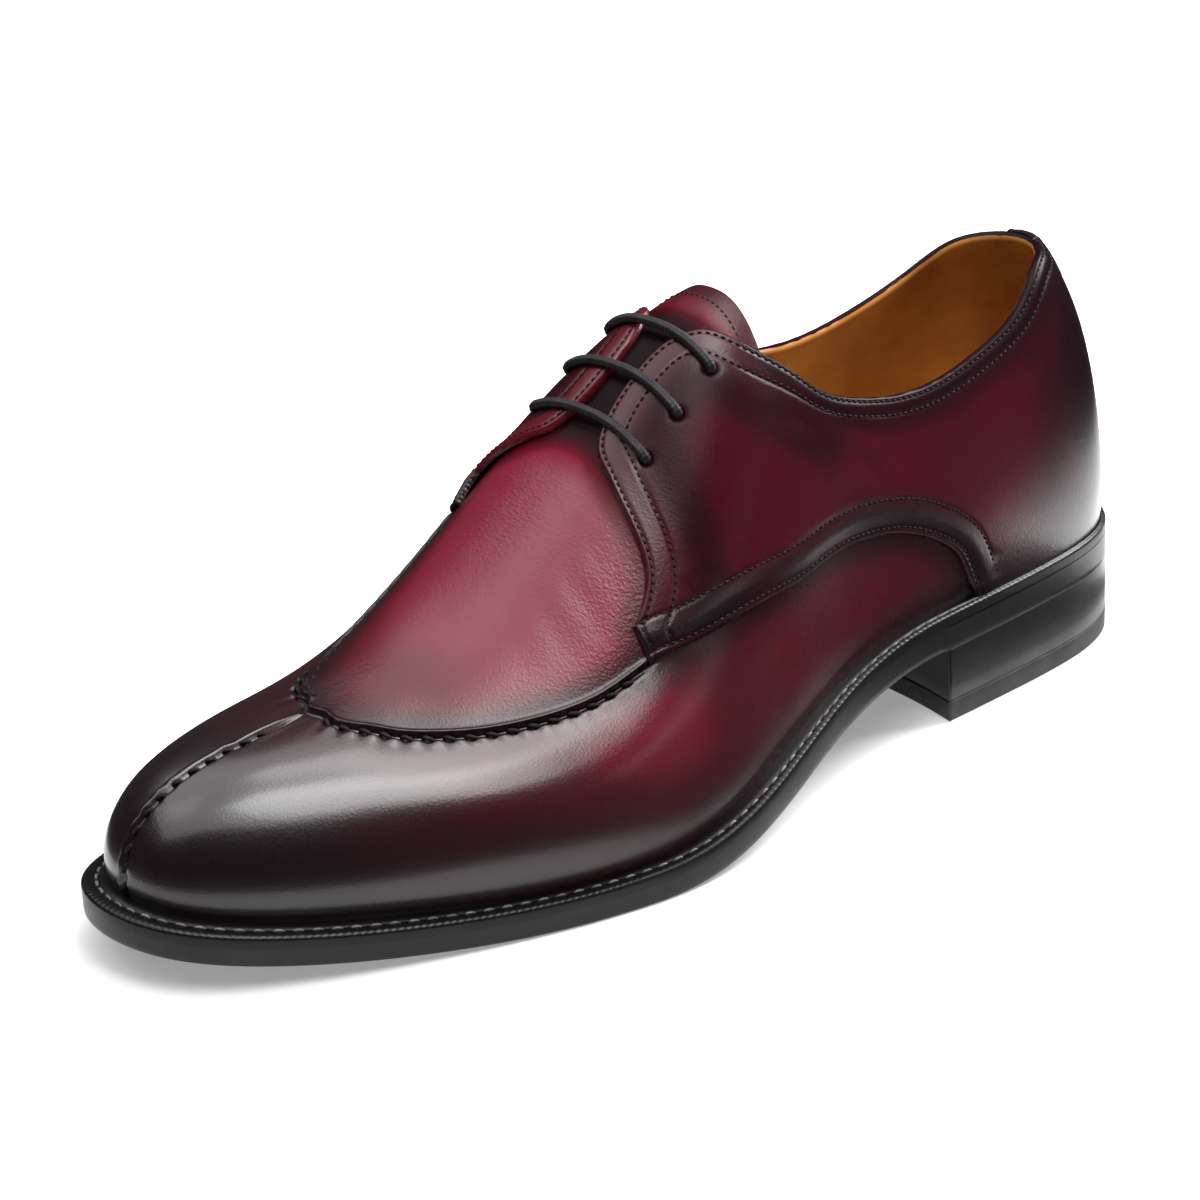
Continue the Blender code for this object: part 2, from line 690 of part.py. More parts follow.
# Tongue
def add_tongue():
    """A curved plate under the facings, from the throat to just above the collar."""
    feet = upper_columns()
    between = feet[(feet > TONGUE_TOP + COLUMN_CLEARANCE) & (feet < THROAT - COLUMN_CLEARANCE)]
    feet = np.r_[TONGUE_TOP + 2 * GAP, between, THROAT - 2 * GAP]
    grid = []
    for foot in feet:
        rib = []
        for side in (1, -1):
            turns = row_turns(side, foot)[EDGE_ROW:]
            turns[0] += TONGUE_SIDE_GAP
            rib.append([(last_point(side, foot, t), surface_normal(side, foot, t)) for t in turns])
        grid.append(rib[0] + rib[1][-2::-1])
    wide = len(grid[0])
    points = []
    for drop in (TONGUE_DROP, TONGUE_DROP + TONGUE):
        points += [place - normal * drop for rib in grid for place, normal in rib]
    under = len(feet) * wide
    faces = []
    for i in range(len(feet) - 1):
        for j in range(wide - 1):
            a = i * wide + j
            cell = (a, a + 1, a + wide + 1, a + wide)
            faces.append(cell)
            faces.append([c + under for c in reversed(cell)])
    rim = [j for j in range(wide)]
    rim += [i * wide + wide - 1 for i in range(1, len(feet))]
    rim += [(len(feet) - 1) * wide + j for j in range(wide - 2, -1, -1)]
    rim += [i * wide for i in range(len(feet) - 2, 0, -1)]
    for a, b in zip(rim, rim[1:] + rim[:1]):
        faces.append((a, b, b + under, a + under))
    add_solid("tongue", "tongue", points, faces)


# Lace
def add_lace_bars():
    """Three straight-laced bars, each dipping into the eyelets at its two ends."""
    lift = QUARTER + GAP + LACE_RADIUS
    for number, foot in enumerate(EYELET_FEET, start=1):
        route = []
        for side in (1, -1):
            place, normal = eyelet(side, foot)
            start = float(turn_on(side, foot, EYELET_TURN))
            half = [place + normal * GAP, place + normal * (QUARTER + GAP)]
            for turn in np.linspace(start + LACE_BEND_TURN, LACE_CREST_TURN, LACE_HALF_POINTS):
                half.append(last_point(side, foot, turn) + surface_normal(side, foot, turn) * lift)
            route = half if side > 0 else route + half[::-1]
        shape = bpy.data.curves.new("lace_bar_%d" % number, "CURVE")
        shape.dimensions = "3D"
        shape.bevel_depth = LACE_RADIUS * MM
        shape.bevel_resolution = 2
        shape.use_fill_caps = True
        run = shape.splines.new("POLY")
        run.points.add(len(route) - 1)
        for point, place in zip(run.points, route):
            point.co = (*(place * MM), 1.0)
        made = bpy.data.objects.new("lace_bar_%d" % number, shape)
        made.data.materials.append(leather("lace_bar_%d_finish" % number, "lace"))
        made.parent = ORIGIN
        PARTS.objects.link(made)


add_sole()
add_welt()
add_upper()
add_tongue()
add_lace_bars()
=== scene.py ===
# %% [markdown]
# # Apron toe derby
# A left dress shoe in hand-dyed burgundy calf: a vamp with a hand-sewn apron and a split toe seam,
# quarters laced over it with three bars, a stitched welt, a leather sole and a low stacked heel.
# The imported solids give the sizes. Every leather piece here is cut again, finely, from one function
# for the last, which is the wooden foot form that a shoemaker stretches the leather over.

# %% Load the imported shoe
import math

import bmesh
import bpy
import numpy as np
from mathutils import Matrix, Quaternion, Vector
from mathutils.kdtree import KDTree


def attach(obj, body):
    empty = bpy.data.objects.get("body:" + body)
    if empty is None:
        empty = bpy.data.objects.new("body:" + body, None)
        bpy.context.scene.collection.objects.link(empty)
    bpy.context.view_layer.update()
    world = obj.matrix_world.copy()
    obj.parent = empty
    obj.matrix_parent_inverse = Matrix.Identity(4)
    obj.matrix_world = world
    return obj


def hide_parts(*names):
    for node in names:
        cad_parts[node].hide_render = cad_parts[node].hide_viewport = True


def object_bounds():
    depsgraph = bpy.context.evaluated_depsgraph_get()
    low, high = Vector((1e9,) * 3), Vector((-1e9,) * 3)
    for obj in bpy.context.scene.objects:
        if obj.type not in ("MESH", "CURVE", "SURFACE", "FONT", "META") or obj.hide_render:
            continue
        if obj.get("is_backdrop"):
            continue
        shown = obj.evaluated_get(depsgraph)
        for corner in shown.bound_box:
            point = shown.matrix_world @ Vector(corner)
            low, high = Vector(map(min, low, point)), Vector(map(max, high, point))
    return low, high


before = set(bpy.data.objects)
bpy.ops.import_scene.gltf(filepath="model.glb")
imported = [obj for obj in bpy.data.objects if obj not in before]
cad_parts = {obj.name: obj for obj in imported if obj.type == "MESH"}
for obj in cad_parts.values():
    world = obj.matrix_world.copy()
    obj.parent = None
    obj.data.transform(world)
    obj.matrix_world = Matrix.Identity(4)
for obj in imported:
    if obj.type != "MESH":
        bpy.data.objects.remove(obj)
cad_low, cad_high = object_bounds()
MM = 0.001
print("packed box in mm:", [round((b - a) / MM, 1) for a, b in zip(cad_low, cad_high)])

# %% [markdown]
# ## The last
# A last is described as shoemakers do: the feather line where upper meets sole, the ridge along the
# top, and a rounded section between them at each station. One row of the table is one section. Points
# are found from a foot position along the feather line and a turn from feather (0) to ridge (1), so a
# pattern line drawn in those two numbers lies on the leather by itself.

# %% Sizes of the last
SOLE_LENGTH = float(round((cad_high.x - cad_low.x) / MM))
BALL_WIDTH = 103.0
INSTEP_HEIGHT = 118.5
HEEL_HEIGHT, HEEL_PITCH, HEEL_BREAST, BREAST_BOW, TOP_PIECE = 19.4, 0.02, 79.5, 3.0, 5.0
TREAD_START, TREAD_END, TOE_SPRING = 190.0, 205.0, 9.3
EDGE_FOREPART, EDGE_HEEL, EDGE_TAPER_START, EDGE_TAPER_END = 7.8, 9.8, 75.0, 200.0
WELT, GAP = 3.0, 0.3
WALL, QUARTER = 1.3, 1.5

SOLE_EDGE = [
    # along, lateral, medial: shares of the length and of the ball width
    (0.000, 0.010, 0.010), (0.037, 0.204, -0.209), (0.134, 0.286, -0.320), (0.258, 0.311, -0.291),
    (0.379, 0.354, -0.277), (0.503, 0.466, -0.379), (0.604, 0.510, -0.481), (0.718, 0.451, -0.505),
    (0.815, 0.354, -0.485), (0.909, 0.233, -0.413), (0.980, 0.078, -0.277), (1.000, -0.105, -0.105),
]
WELT_SHOW = [
    # along, width in mm that the welt stands out past the feather line
    (0.00, 3.0), (0.13, 3.0), (0.27, 3.2), (0.40, 3.6), (0.54, 4.6), (0.67, 5.6), (0.84, 6.2), (1.00, 6.8),
]
LAST = [
    # along, ridge height, ridge side, lateral round and rise, medial round and rise, lateral and medial bulge
    (0.000, 0.954, 0.000, 0.76, 1.00, 0.76, 1.00, 0.8, 0.8),
    (0.101, 0.954, 0.000, 0.76, 1.00, 0.76, 1.00, 0.8, 0.8),
    (0.201, 0.962, 0.000, 0.88, 1.00, 0.88, 1.00, 1.5, 2.0),
    (0.302, 0.987, -0.010, 0.92, 0.95, 0.88, 0.72, 1.5, 4.0),
    (0.369, 1.000, -0.015, 0.90, 0.90, 0.80, 0.52, 1.0, 5.0),
    (0.436, 0.966, -0.015, 0.88, 0.90, 0.75, 0.44, 1.0, 4.5),
    (0.503, 0.869, -0.015, 0.88, 1.00, 0.75, 0.44, 1.2, 3.0),
    (0.570, 0.734, -0.019, 0.92, 1.15, 0.78, 0.54, 1.5, 2.0),
    (0.638, 0.591, -0.029, 0.95, 1.15, 0.82, 0.64, 1.8, 1.8),
    (0.705, 0.473, -0.049, 0.92, 1.05, 0.82, 0.72, 2.0, 2.2),
    (0.789, 0.401, -0.083, 0.85, 0.95, 0.76, 0.80, 2.0, 2.7),
    (0.872, 0.380, -0.101, 0.65, 0.95, 0.55, 0.90, 2.0, 2.7),
    (0.980, 0.371, -0.105, 0.46, 1.00, 0.46, 1.00, 1.5, 1.5),
]
TOE_FAN_START, TOE_POLE = 190.0, 222.0
HEEL_FAN_START, HEEL_POLE = 75.0, 40.0
POLE_TILT_REACH = 18.0
BULGE_RISE, BULGE_FADE = 0.33, 0.6


# %% Smooth curves through a few rows
def spline(xs, ys):
    """Natural cubic through a table's rows, held level past its ends."""
    xs, ys = np.asarray(xs, float), np.asarray(ys, float)
    step, count = np.diff(xs), len(xs)
    system, right = np.eye(count), np.zeros(count)
    for i in range(1, count - 1):
        system[i, i - 1:i + 2] = step[i - 1], 2 * (step[i - 1] + step[i]), step[i]
        right[i] = 6 * ((ys[i + 1] - ys[i]) / step[i] - (ys[i] - ys[i - 1]) / step[i - 1])
    bend = np.linalg.solve(system, right)

    def value(q):
        q = np.clip(q, xs[0], xs[-1])
        i = np.clip(np.searchsorted(xs, q) - 1, 0, count - 2)
        after, before = q - xs[i], xs[i + 1] - q
        cubic = (bend[i] * before ** 3 + bend[i + 1] * after ** 3) / (6 * step[i])
        start = (ys[i] / step[i] - bend[i] * step[i] / 6) * before
        return cubic + start + (ys[i + 1] / step[i] - bend[i + 1] * step[i] / 6) * after

    return value


def centripetal(points):
    """Parameter values that grow with the square root of the distance between points."""
    return np.r_[0, np.cumsum(np.sqrt(np.linalg.norm(np.diff(points, axis=0), axis=1)))]


def line(rows, turn_weight=300.0):
    """A smooth pattern line through (foot, turn) rows, read back by foot."""
    points = np.array(rows, float)
    t = centripetal(points * (1.0, turn_weight))
    dense = np.linspace(0, t[-1], 900)
    feet = np.maximum.accumulate(spline(t, points[:, 0])(dense))
    turns = spline(t, points[:, 1])(dense)
    return lambda x: np.interp(x, feet, turns)


def run_along(points):
    """Distance walked along a path, at each of its points."""
    return np.r_[0, np.cumsum(np.linalg.norm(np.diff(points, axis=0), axis=1))]


def smooth_step(q):
    """Ease from 0 to 1 while q goes from 0 to 1."""
    q = np.clip(q, 0, 1)
    return q * q * (3 - 2 * q)


def bell(distance, width):
    """A soft hump: 1 at distance 0, about a third at one width."""
    return np.exp(-(distance / width) ** 2)


# %% The sole edge and the feather line
EDGE_POINTS = 4000


def closed_edge(rows):
    """The sole edge as one closed smooth curve: heel, lateral side, toe, medial side."""
    table = np.array(rows) * (SOLE_LENGTH, BALL_WIDTH, BALL_WIDTH)
    loop = np.vstack([table[:, [0, 1]], table[-2:0:-1][:, [0, 2]]])
    turns = np.vstack([loop, loop, loop, loop[:1]])
    t = centripetal(turns)
    u = np.linspace(t[len(loop)], t[2 * len(loop)], EDGE_POINTS, endpoint=False)
    return np.stack([spline(t, turns[:, 0])(u), spline(t, turns[:, 1])(u)], -1)


EDGE = closed_edge(SOLE_EDGE)
ORIGIN = np.r_[(EDGE.min(0) + EDGE.max(0)) / 2, 0.0]
SHOW = spline([row[0] * SOLE_LENGTH for row in WELT_SHOW], [row[1] for row in WELT_SHOW])


def inward(loop):
    """Direction into the shoe at each point of a loop."""
    ahead = np.roll(loop, -1, axis=0) - np.roll(loop, 1, axis=0)
    ahead /= np.linalg.norm(ahead, axis=1, keepdims=True)
    return np.stack([ahead[:, 1], -ahead[:, 0]], -1)


EDGE_IN = inward(EDGE)
FEATHER = EDGE + EDGE_IN * SHOW(EDGE[:, 0])[:, None]


def halves(loop):
    """Split a loop at heel and toe into its lateral and medial runs, both from heel to toe."""
    loop = np.roll(loop, -int(np.argmin(loop[:, 0])), axis=0)
    toe = int(np.argmax(loop[:, 0]))
    return loop[:toe + 1], np.vstack([loop[toe:], loop[:1]])[::-1]


FEATHER_LATERAL, FEATHER_MEDIAL = halves(FEATHER)
HEEL_X, TOE_X = FEATHER_LATERAL[0, 0], FEATHER_LATERAL[-1, 0]
print("feather line from %.1f to %.1f mm" % (HEEL_X, TOE_X))


def sole_bottom(x):
    """Underside of the outsole: heel seat, shank curve, flat tread and toe spring."""
    shank = HEEL_HEIGHT * (1 - smooth_step((x - HEEL_BREAST) / (TREAD_START - HEEL_BREAST)))
    seat = HEEL_HEIGHT + (HEEL_BREAST - x) * HEEL_PITCH
    spring = TOE_SPRING * np.clip((x - TREAD_END) / (SOLE_LENGTH - TREAD_END), 0, None) ** 2
    return np.where(x < HEEL_BREAST, seat, shank) + spring


def feather_height(x):
    """Top of the welt, where the upper leaves the sole."""
    heel_share = np.clip((EDGE_TAPER_END - x) / (EDGE_TAPER_END - EDGE_TAPER_START), 0, 1)
    return sole_bottom(x) + EDGE_FOREPART + (EDGE_HEEL - EDGE_FOREPART) * heel_share


# %% A point of the last, and the leather over it
ROWS = np.array(LAST).T
STATION = ROWS[0] * SOLE_LENGTH
RIDGE_Z = spline(STATION, ROWS[1] * INSTEP_HEIGHT)
RIDGE_Y = spline(STATION, ROWS[2] * BALL_WIDTH)
ROUND = spline(STATION, ROWS[3]), spline(STATION, ROWS[5])
RISE = spline(STATION, ROWS[4]), spline(STATION, ROWS[6])
BULGE = spline(STATION, ROWS[7]), spline(STATION, ROWS[8])
NORMAL_STEP, RIDGE_TURN = 0.004, 0.9995


def on_side(pair, side, foot):
    """Read a lateral and medial pair of curves on the right side."""
    return np.where(side > 0, pair[0](foot), pair[1](foot))


def fan(x, start, end, pole):
    """Ease a foot position between start and end onto a ridge that stops at the pole."""
    reach = (end - start) / (pole - start)
    q = np.clip((x - start) / (end - start), 0, 1)
    return start + (pole - start) * (reach * q - (reach - 1) * q ** (reach / (reach - 1)))


def ridge_station(x):
    """Where on the ridge the section that stands on foot position x ends."""
    toe = np.where(x > TOE_FAN_START, fan(x, TOE_FAN_START, TOE_X, TOE_POLE), x)
    return np.where(x < HEEL_FAN_START, fan(x, HEEL_FAN_START, HEEL_X, HEEL_POLE), toe)


def last_point(side, foot, turn):
    """A point of the last; side is 1 on the lateral and -1 on the medial side."""
    top_x = ridge_station(foot)
    top_y = RIDGE_Y(top_x)
    lateral = np.interp(foot, FEATHER_LATERAL[:, 0], FEATHER_LATERAL[:, 1])
    medial = np.interp(foot, FEATHER_MEDIAL[:, 0], FEATHER_MEDIAL[:, 1])
    reach_x, reach_y = foot - top_x, np.where(side > 0, lateral, medial) - top_y
    angle = turn * math.pi / 2
    rise = np.clip(np.sin(angle), 0, 1) ** on_side(RISE, side, foot)
    out = np.clip(np.cos(angle), 0, 1) ** on_side(ROUND, side, foot)
    swell = rise / BULGE_RISE
    swell = swell * np.exp(1 - swell) * (1 - smooth_step((rise - BULGE_FADE) / (1 - BULGE_FADE)))
    out = out + on_side(BULGE, side, foot) * swell / np.hypot(reach_x, reach_y)
    x, y, base = top_x + reach_x * out, top_y + reach_y * out, feather_height(foot)
    slope = (RIDGE_Z(top_x + 1) - RIDGE_Z(top_x - 1)) / 2
    tilt = slope * POLE_TILT_REACH * np.tanh((x - top_x) / POLE_TILT_REACH) * rise ** 2
    return np.stack([x, y, base + (RIDGE_Z(top_x) - base) * rise + tilt], -1)


def foot_at(angle):
    """Foot position at an angle round the shoe: heel 0, lateral side, toe pi, medial side."""
    return HEEL_X + (TOE_X - HEEL_X) * (1 - np.cos(angle)) / 2


def angle_at(foot):
    """Angle from the heel, on either side, of a foot position."""
    return np.arccos(1 - 2 * np.clip((foot - HEEL_X) / (TOE_X - HEEL_X), 0, 1))


def side_at(angle):
    """1 on the lateral half of the way round, -1 on the medial half."""
    return np.where(np.sin(angle) >= 0, 1, -1)


def skin_normal(side, foot, turn):
    """Outward direction of the leather."""
    angle = side * angle_at(foot)
    after, before = angle + NORMAL_STEP, angle - NORMAL_STEP
    along = last_point(side_at(after), foot_at(after), turn)
    along = along - last_point(side_at(before), foot_at(before), turn)
    above, below = np.minimum(turn + NORMAL_STEP, 1), np.maximum(turn - NORMAL_STEP, 0)
    normal = np.cross(last_point(side, foot, above) - last_point(side, foot, below), along)
    top_x = ridge_station(foot)
    slope = (RIDGE_Z(top_x + 1) - RIDGE_Z(top_x - 1)) / 2
    crest = np.stack([-slope, 0 * slope, 1 + 0 * slope], -1)
    normal = np.where((turn > RIDGE_TURN)[..., None], crest, normal)
    return normal / np.maximum(np.linalg.norm(normal, axis=-1, keepdims=True), 1e-12)


def skin(side, foot, turn, lift=0.0):
    """A point of the leather, lifted off the last by a number of millimetres."""
    side, foot, turn, lift = np.broadcast_arrays(side, np.asarray(foot, float), turn, lift)
    return last_point(side, foot, turn) + skin_normal(side, foot, turn) * lift[..., None]


# %% [markdown]
# ## Pattern lines
# The quarter's lower seam runs on forward as the apron seam, the collar runs on as the facing edge, and
# the stitch rows keep a fixed distance from those edges. Each line is drawn on the lateral side. The medial
# side takes it at the same share of the section's height, and in front of the instep all its lines are
# drawn up towards the ridge, because the foot is higher there and the apron sits askew on it.

# %% Pattern lines
SEAM_LINE = [
    # foot, turn
    (66.8, 0.000), (69.6, 0.040), (72.5, 0.085), (77.0, 0.122), (85.5, 0.158), (97.0, 0.186), (121.5, 0.216),
    (135.0, 0.246), (157.0, 0.352), (170.0, 0.415), (179.0, 0.452), (191.0, 0.468), (207.5, 0.512),
    (224.0, 0.577), (242.5, 0.682), (254.5, 0.777), (272.0, 0.888), (286.0, 0.952), (291.3, 0.962),
]
COLLAR_LINE = [
    # foot, turn
    (3.0, 0.720), (20.0, 0.685), (38.0, 0.575), (60.0, 0.497), (85.0, 0.452), (106.5, 0.485),
    (117.0, 0.571), (127.0, 0.723), (133.0, 0.872), (137.0, 0.925),
]
FACING_LINE = [
    # foot, turn
    (137.0, 0.925), (144.0, 0.962), (156.0, 0.962), (164.0, 0.925), (167.0, 0.855), (169.0, 0.756),
    (170.5, 0.640), (172.5, 0.584), (175.5, 0.555), (179.0, 0.534),
]
TONGUE_EDGE_LINE = [
    # foot, share of the way from seam to facing
    (3.0, 0.50), (95.0, 0.55), (121.5, 0.93), (135.0, 0.72), (150.0, 0.60), (166.0, 0.50), (291.3, 0.50),
]
MEDIAL_RAISE = [
    # foot, turn that the medial seam lies above the lateral seam's height
    (125.0, 0.000), (138.0, 0.012), (150.0, 0.050), (160.0, 0.120), (170.0, 0.200), (179.0, 0.250),
    (198.0, 0.200), (222.0, 0.130), (246.0, 0.105), (270.0, 0.055), (291.3, 0.000),
]
SEAM_FOOT, FACING_CORNER, FACING_TIP = 66.8, 137.0, 179.0
TIP_TURNS, TIP_STEPS = (0.534, 0.452), 20
TONGUE_TOP, THROAT = 121.5, 166.0
EYELET_FEET, EYELET_TURN = (138.3, 149.7, 160.0), 0.767
SIDES = {"lateral": 1, "medial": -1}
FOOT_STEP, TURN_STEP = 0.05, 0.001

seam_turn, collar_turn, facing_turn = line(SEAM_LINE), line(COLLAR_LINE), line(FACING_LINE)
tongue_share = line(TONGUE_EDGE_LINE)
medial_raise = spline(*np.array(MEDIAL_RAISE).T)


def level_turn(side, foot, turn):
    """Carry a lateral pattern line to either side at the same share of the section's height."""
    ratio = np.where(side > 0, 1.0, RISE[0](foot) / RISE[1](foot))
    return np.arcsin(np.sin(turn * math.pi / 2) ** ratio) * 2 / math.pi


def turn_on(side, foot, turn):
    """Carry a lateral pattern line to either side, drawn up on the medial side as far as its seam is."""
    level, seam = level_turn(side, foot, turn), level_turn(side, foot, seam_turn(foot))
    pull = np.where(level < seam, level / np.maximum(seam, 1e-6), (1 - level) / (1 - seam))
    return level + np.where(side > 0, 0.0, medial_raise(foot)) * pull


def top_turn(foot):
    """Upper edge of the quarter: collar behind the facing corner, facing edge before it."""
    return np.where(foot < FACING_CORNER, collar_turn(foot), facing_turn(foot))


def bottom_turn(foot):
    """Lower edge of the quarter: the feather line at the heel, then the seam."""
    return np.where(foot < SEAM_FOOT, 0.0, seam_turn(foot))


def tongue_edge_turn(foot):
    """Side edge of the tongue, hidden under the facing."""
    low = seam_turn(foot)
    return low + (top_turn(foot) - low) * tongue_share(foot)


def even(points, *carried, step):
    """Put points along a path at even distances, and carry other values along with them."""
    run = run_along(points)
    places = np.linspace(0, run[-1], max(2, int(round(run[-1] / step)) + 1))
    return [np.interp(places, run, values) for values in carried]


def pattern_path(side, foot, turn, step=0.4):
    """Even (foot, turn) steps along a line on one side of the shoe."""
    turn = turn_on(side, foot, turn)
    return even(last_point(side, foot, turn), foot, turn, step=step)


def inset(side, foot, turn, distance, toward):
    """Move a line over the leather by a distance in mm; toward is 1 for up from it and -1 for down."""
    steps = max(1, math.ceil(float(np.max(distance))))
    for _ in range(steps):
        by_foot = last_point(side, foot + FOOT_STEP, turn) - last_point(side, foot - FOOT_STEP, turn)
        by_turn = last_point(side, foot, turn + TURN_STEP) - last_point(side, foot, turn - TURN_STEP)
        by_foot, by_turn = by_foot / (2 * FOOT_STEP), by_turn / (2 * TURN_STEP)
        ahead = np.gradient(foot)[:, None] * by_foot + np.gradient(turn)[:, None] * by_turn
        ahead /= np.linalg.norm(ahead, axis=1, keepdims=True)
        across = np.cross(ahead, skin_normal(side, foot, turn)) * toward * side
        a, b, c = (by_foot ** 2).sum(1), (by_foot * by_turn).sum(1), (by_turn ** 2).sum(1)
        p, q = (by_foot * across).sum(1), (by_turn * across).sum(1)
        det = np.maximum(a * c - b * b, 1e-9)
        foot = foot + (c * p - b * q) / det * distance / steps
        turn = np.clip(turn + (a * q - b * p) / det * distance / steps, 0, 0.999)
    return foot, turn


def distance_to(points, path):
    """Distance of each point to the nearest point of a finely stepped path."""
    tree = KDTree(len(path))
    for i, p in enumerate(path):
        tree.insert(p, i)
    tree.balance()
    flat = points.reshape(-1, 3)
    return np.array([tree.find(p)[2] for p in flat]).reshape(points.shape[:-1])


def edge_path(side, edge):
    """The quarter's lower or upper edge as (foot, turn) steps."""
    if edge == "lower":
        foot = np.linspace(SEAM_FOOT, FACING_TIP, 900)
        return pattern_path(side, foot, seam_turn(foot))
    foot = np.linspace(HEEL_X, FACING_TIP, 2500)
    foot, turn = pattern_path(side, foot, top_turn(foot))
    tip = turn_on(side, FACING_TIP, np.linspace(*TIP_TURNS, TIP_STEPS))[1:]
    return np.r_[foot, np.full(len(tip), FACING_TIP)], np.r_[turn, tip]


EDGES = {(s, e): edge_path(s, e) for s in (1, -1) for e in ("lower", "upper")}
for (s, e), (foot, turn) in EDGES.items():
    run = np.linalg.norm(np.diff(last_point(s, foot, turn), axis=0), axis=1).sum()
    print("%s edge, side %+d: %.0f mm" % (e, s, run))

# %% [markdown]
# ## Making a piece
# A leather panel is a fine grid of points over the last. The helper turns it into a smooth mesh, welds
# where two grids share a line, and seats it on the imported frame. Each point can carry marks, such as how
# dark the burnish is there, which the material reads back.


# %% Helpers that make a piece
def quads(columns, rows, keep=None, closed=False, flip=False):
    """Faces of a grid that is stored column by column, facing outward or, flipped, inward."""
    k, r = np.meshgrid(np.arange(columns if closed else columns - 1), np.arange(rows - 1), indexing="ij")
    a, b = k * rows + r, (k + 1) % columns * rows + r
    cells = np.stack([b, b + 1, a + 1, a] if flip else [a, a + 1, b + 1, b], -1)
    return (cells.reshape(-1, 4) if keep is None else cells[keep]).tolist()


def add_piece(name, points, faces, finish, replaces=(), marks=None, weld=0.0):
    """Make one smooth piece of the shoe from millimetre points, and seat it on the frame."""
    mesh = bpy.data.meshes.new(name)
    mesh.from_pydata(((np.asarray(points).reshape(-1, 3) - ORIGIN) * MM).tolist(), [], faces)
    for mark, values in (marks or {}).items():
        layer = mesh.attributes.new(mark, "FLOAT", "POINT")
        layer.data.foreach_set("value", np.ravel(values).astype(np.float32))
    work = bmesh.new()
    work.from_mesh(mesh)
    if weld:
        bmesh.ops.remove_doubles(work, verts=work.verts, dist=weld * MM)
    loose = [v for v in work.verts if not v.link_faces]
    bmesh.ops.delete(work, geom=loose, context="VERTS")
    work.to_mesh(mesh)
    work.free()
    mesh.shade_smooth()
    made = bpy.data.objects.new(name, mesh)
    bpy.context.scene.collection.objects.link(made)
    made.data.materials.append(finish)
    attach(made, "root")
    if replaces:
        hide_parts(*replaces)
    print("%s: %d faces" % (name, len(mesh.polygons)))
    return made


# %% [markdown]
# ## Finishes
# The calf is dyed and then burnished by hand: wine red in the middle of each panel, almost black at toe,
# heel, seams and edges. Wax is rubbed in most at toe and heel, where it builds up to a glaze, and hardly at
# all in the waist. Three marks on the leather's points say how much of each there is: "wax" drives the shine,
# "wrinkle" the fine flexing lines, and the burnish mark the colour, which holds painted shade as well as
# burnish.
# Other finishes are plainer leathers, ink, rubber and thread, each with the grain that it shows up close.


# %% Colour and node helpers
def linear(colour):
    """sRGB hex to the linear values that a shader works in."""
    parts = [int(colour[i:i + 2], 16) / 255 for i in (1, 3, 5)]
    return (*[c / 12.92 if c <= 0.04045 else ((c + 0.055) / 1.055) ** 2.4 for c in parts], 1.0)


def node(tree, kind, inputs=None, stops=None, **settings):
    """Add one shader node with its settings, and fill or link its inputs."""
    made = tree.nodes.new(kind)
    for option, value in settings.items():
        setattr(made, option, value)
    for i, (place, colour) in enumerate(stops or []):
        stop = made.color_ramp.elements[i] if i < 2 else made.color_ramp.elements.new(place)
        stop.position, stop.color = place, linear(colour)
    for socket, value in (inputs or {}).items():
        if isinstance(value, bpy.types.NodeSocket):
            tree.links.new(value, made.inputs[socket])
        else:
            made.inputs[socket].default_value = value
    return made


def start_finish(name):
    """A new material with its node tree, its surface shader and the piece's own coordinates."""
    made = bpy.data.materials.new(name)
    made.use_nodes = True
    tree = made.node_tree
    return made, tree, tree.nodes["Principled BSDF"], node(tree, "ShaderNodeTexCoord").outputs["Object"]


def per_metre(size_mm):
    """Texture scale for a pattern whose repeat is a real size."""
    return 1 / (size_mm * MM)


# %% Burnished calf: dyed by hand, polished with wax
# From wine red to near black: the dark end shows burnish, and painted shade where the colour mark holds it
DYE_AND_SHADE = [(0.0, "#6a1829"), (1.0, "#11060a"), (0.25, "#4d0816"), (0.52, "#330711"), (0.80, "#21070e")]
CLOUD_MM, FIBRE_MM = 18, 1.6
# Real pores are about 0.1 mm; they are drawn coarser, so that the grain is seen at all
PORE_MM = 0.6
FLEX_MM = (0.6, 1.9, 0.7)


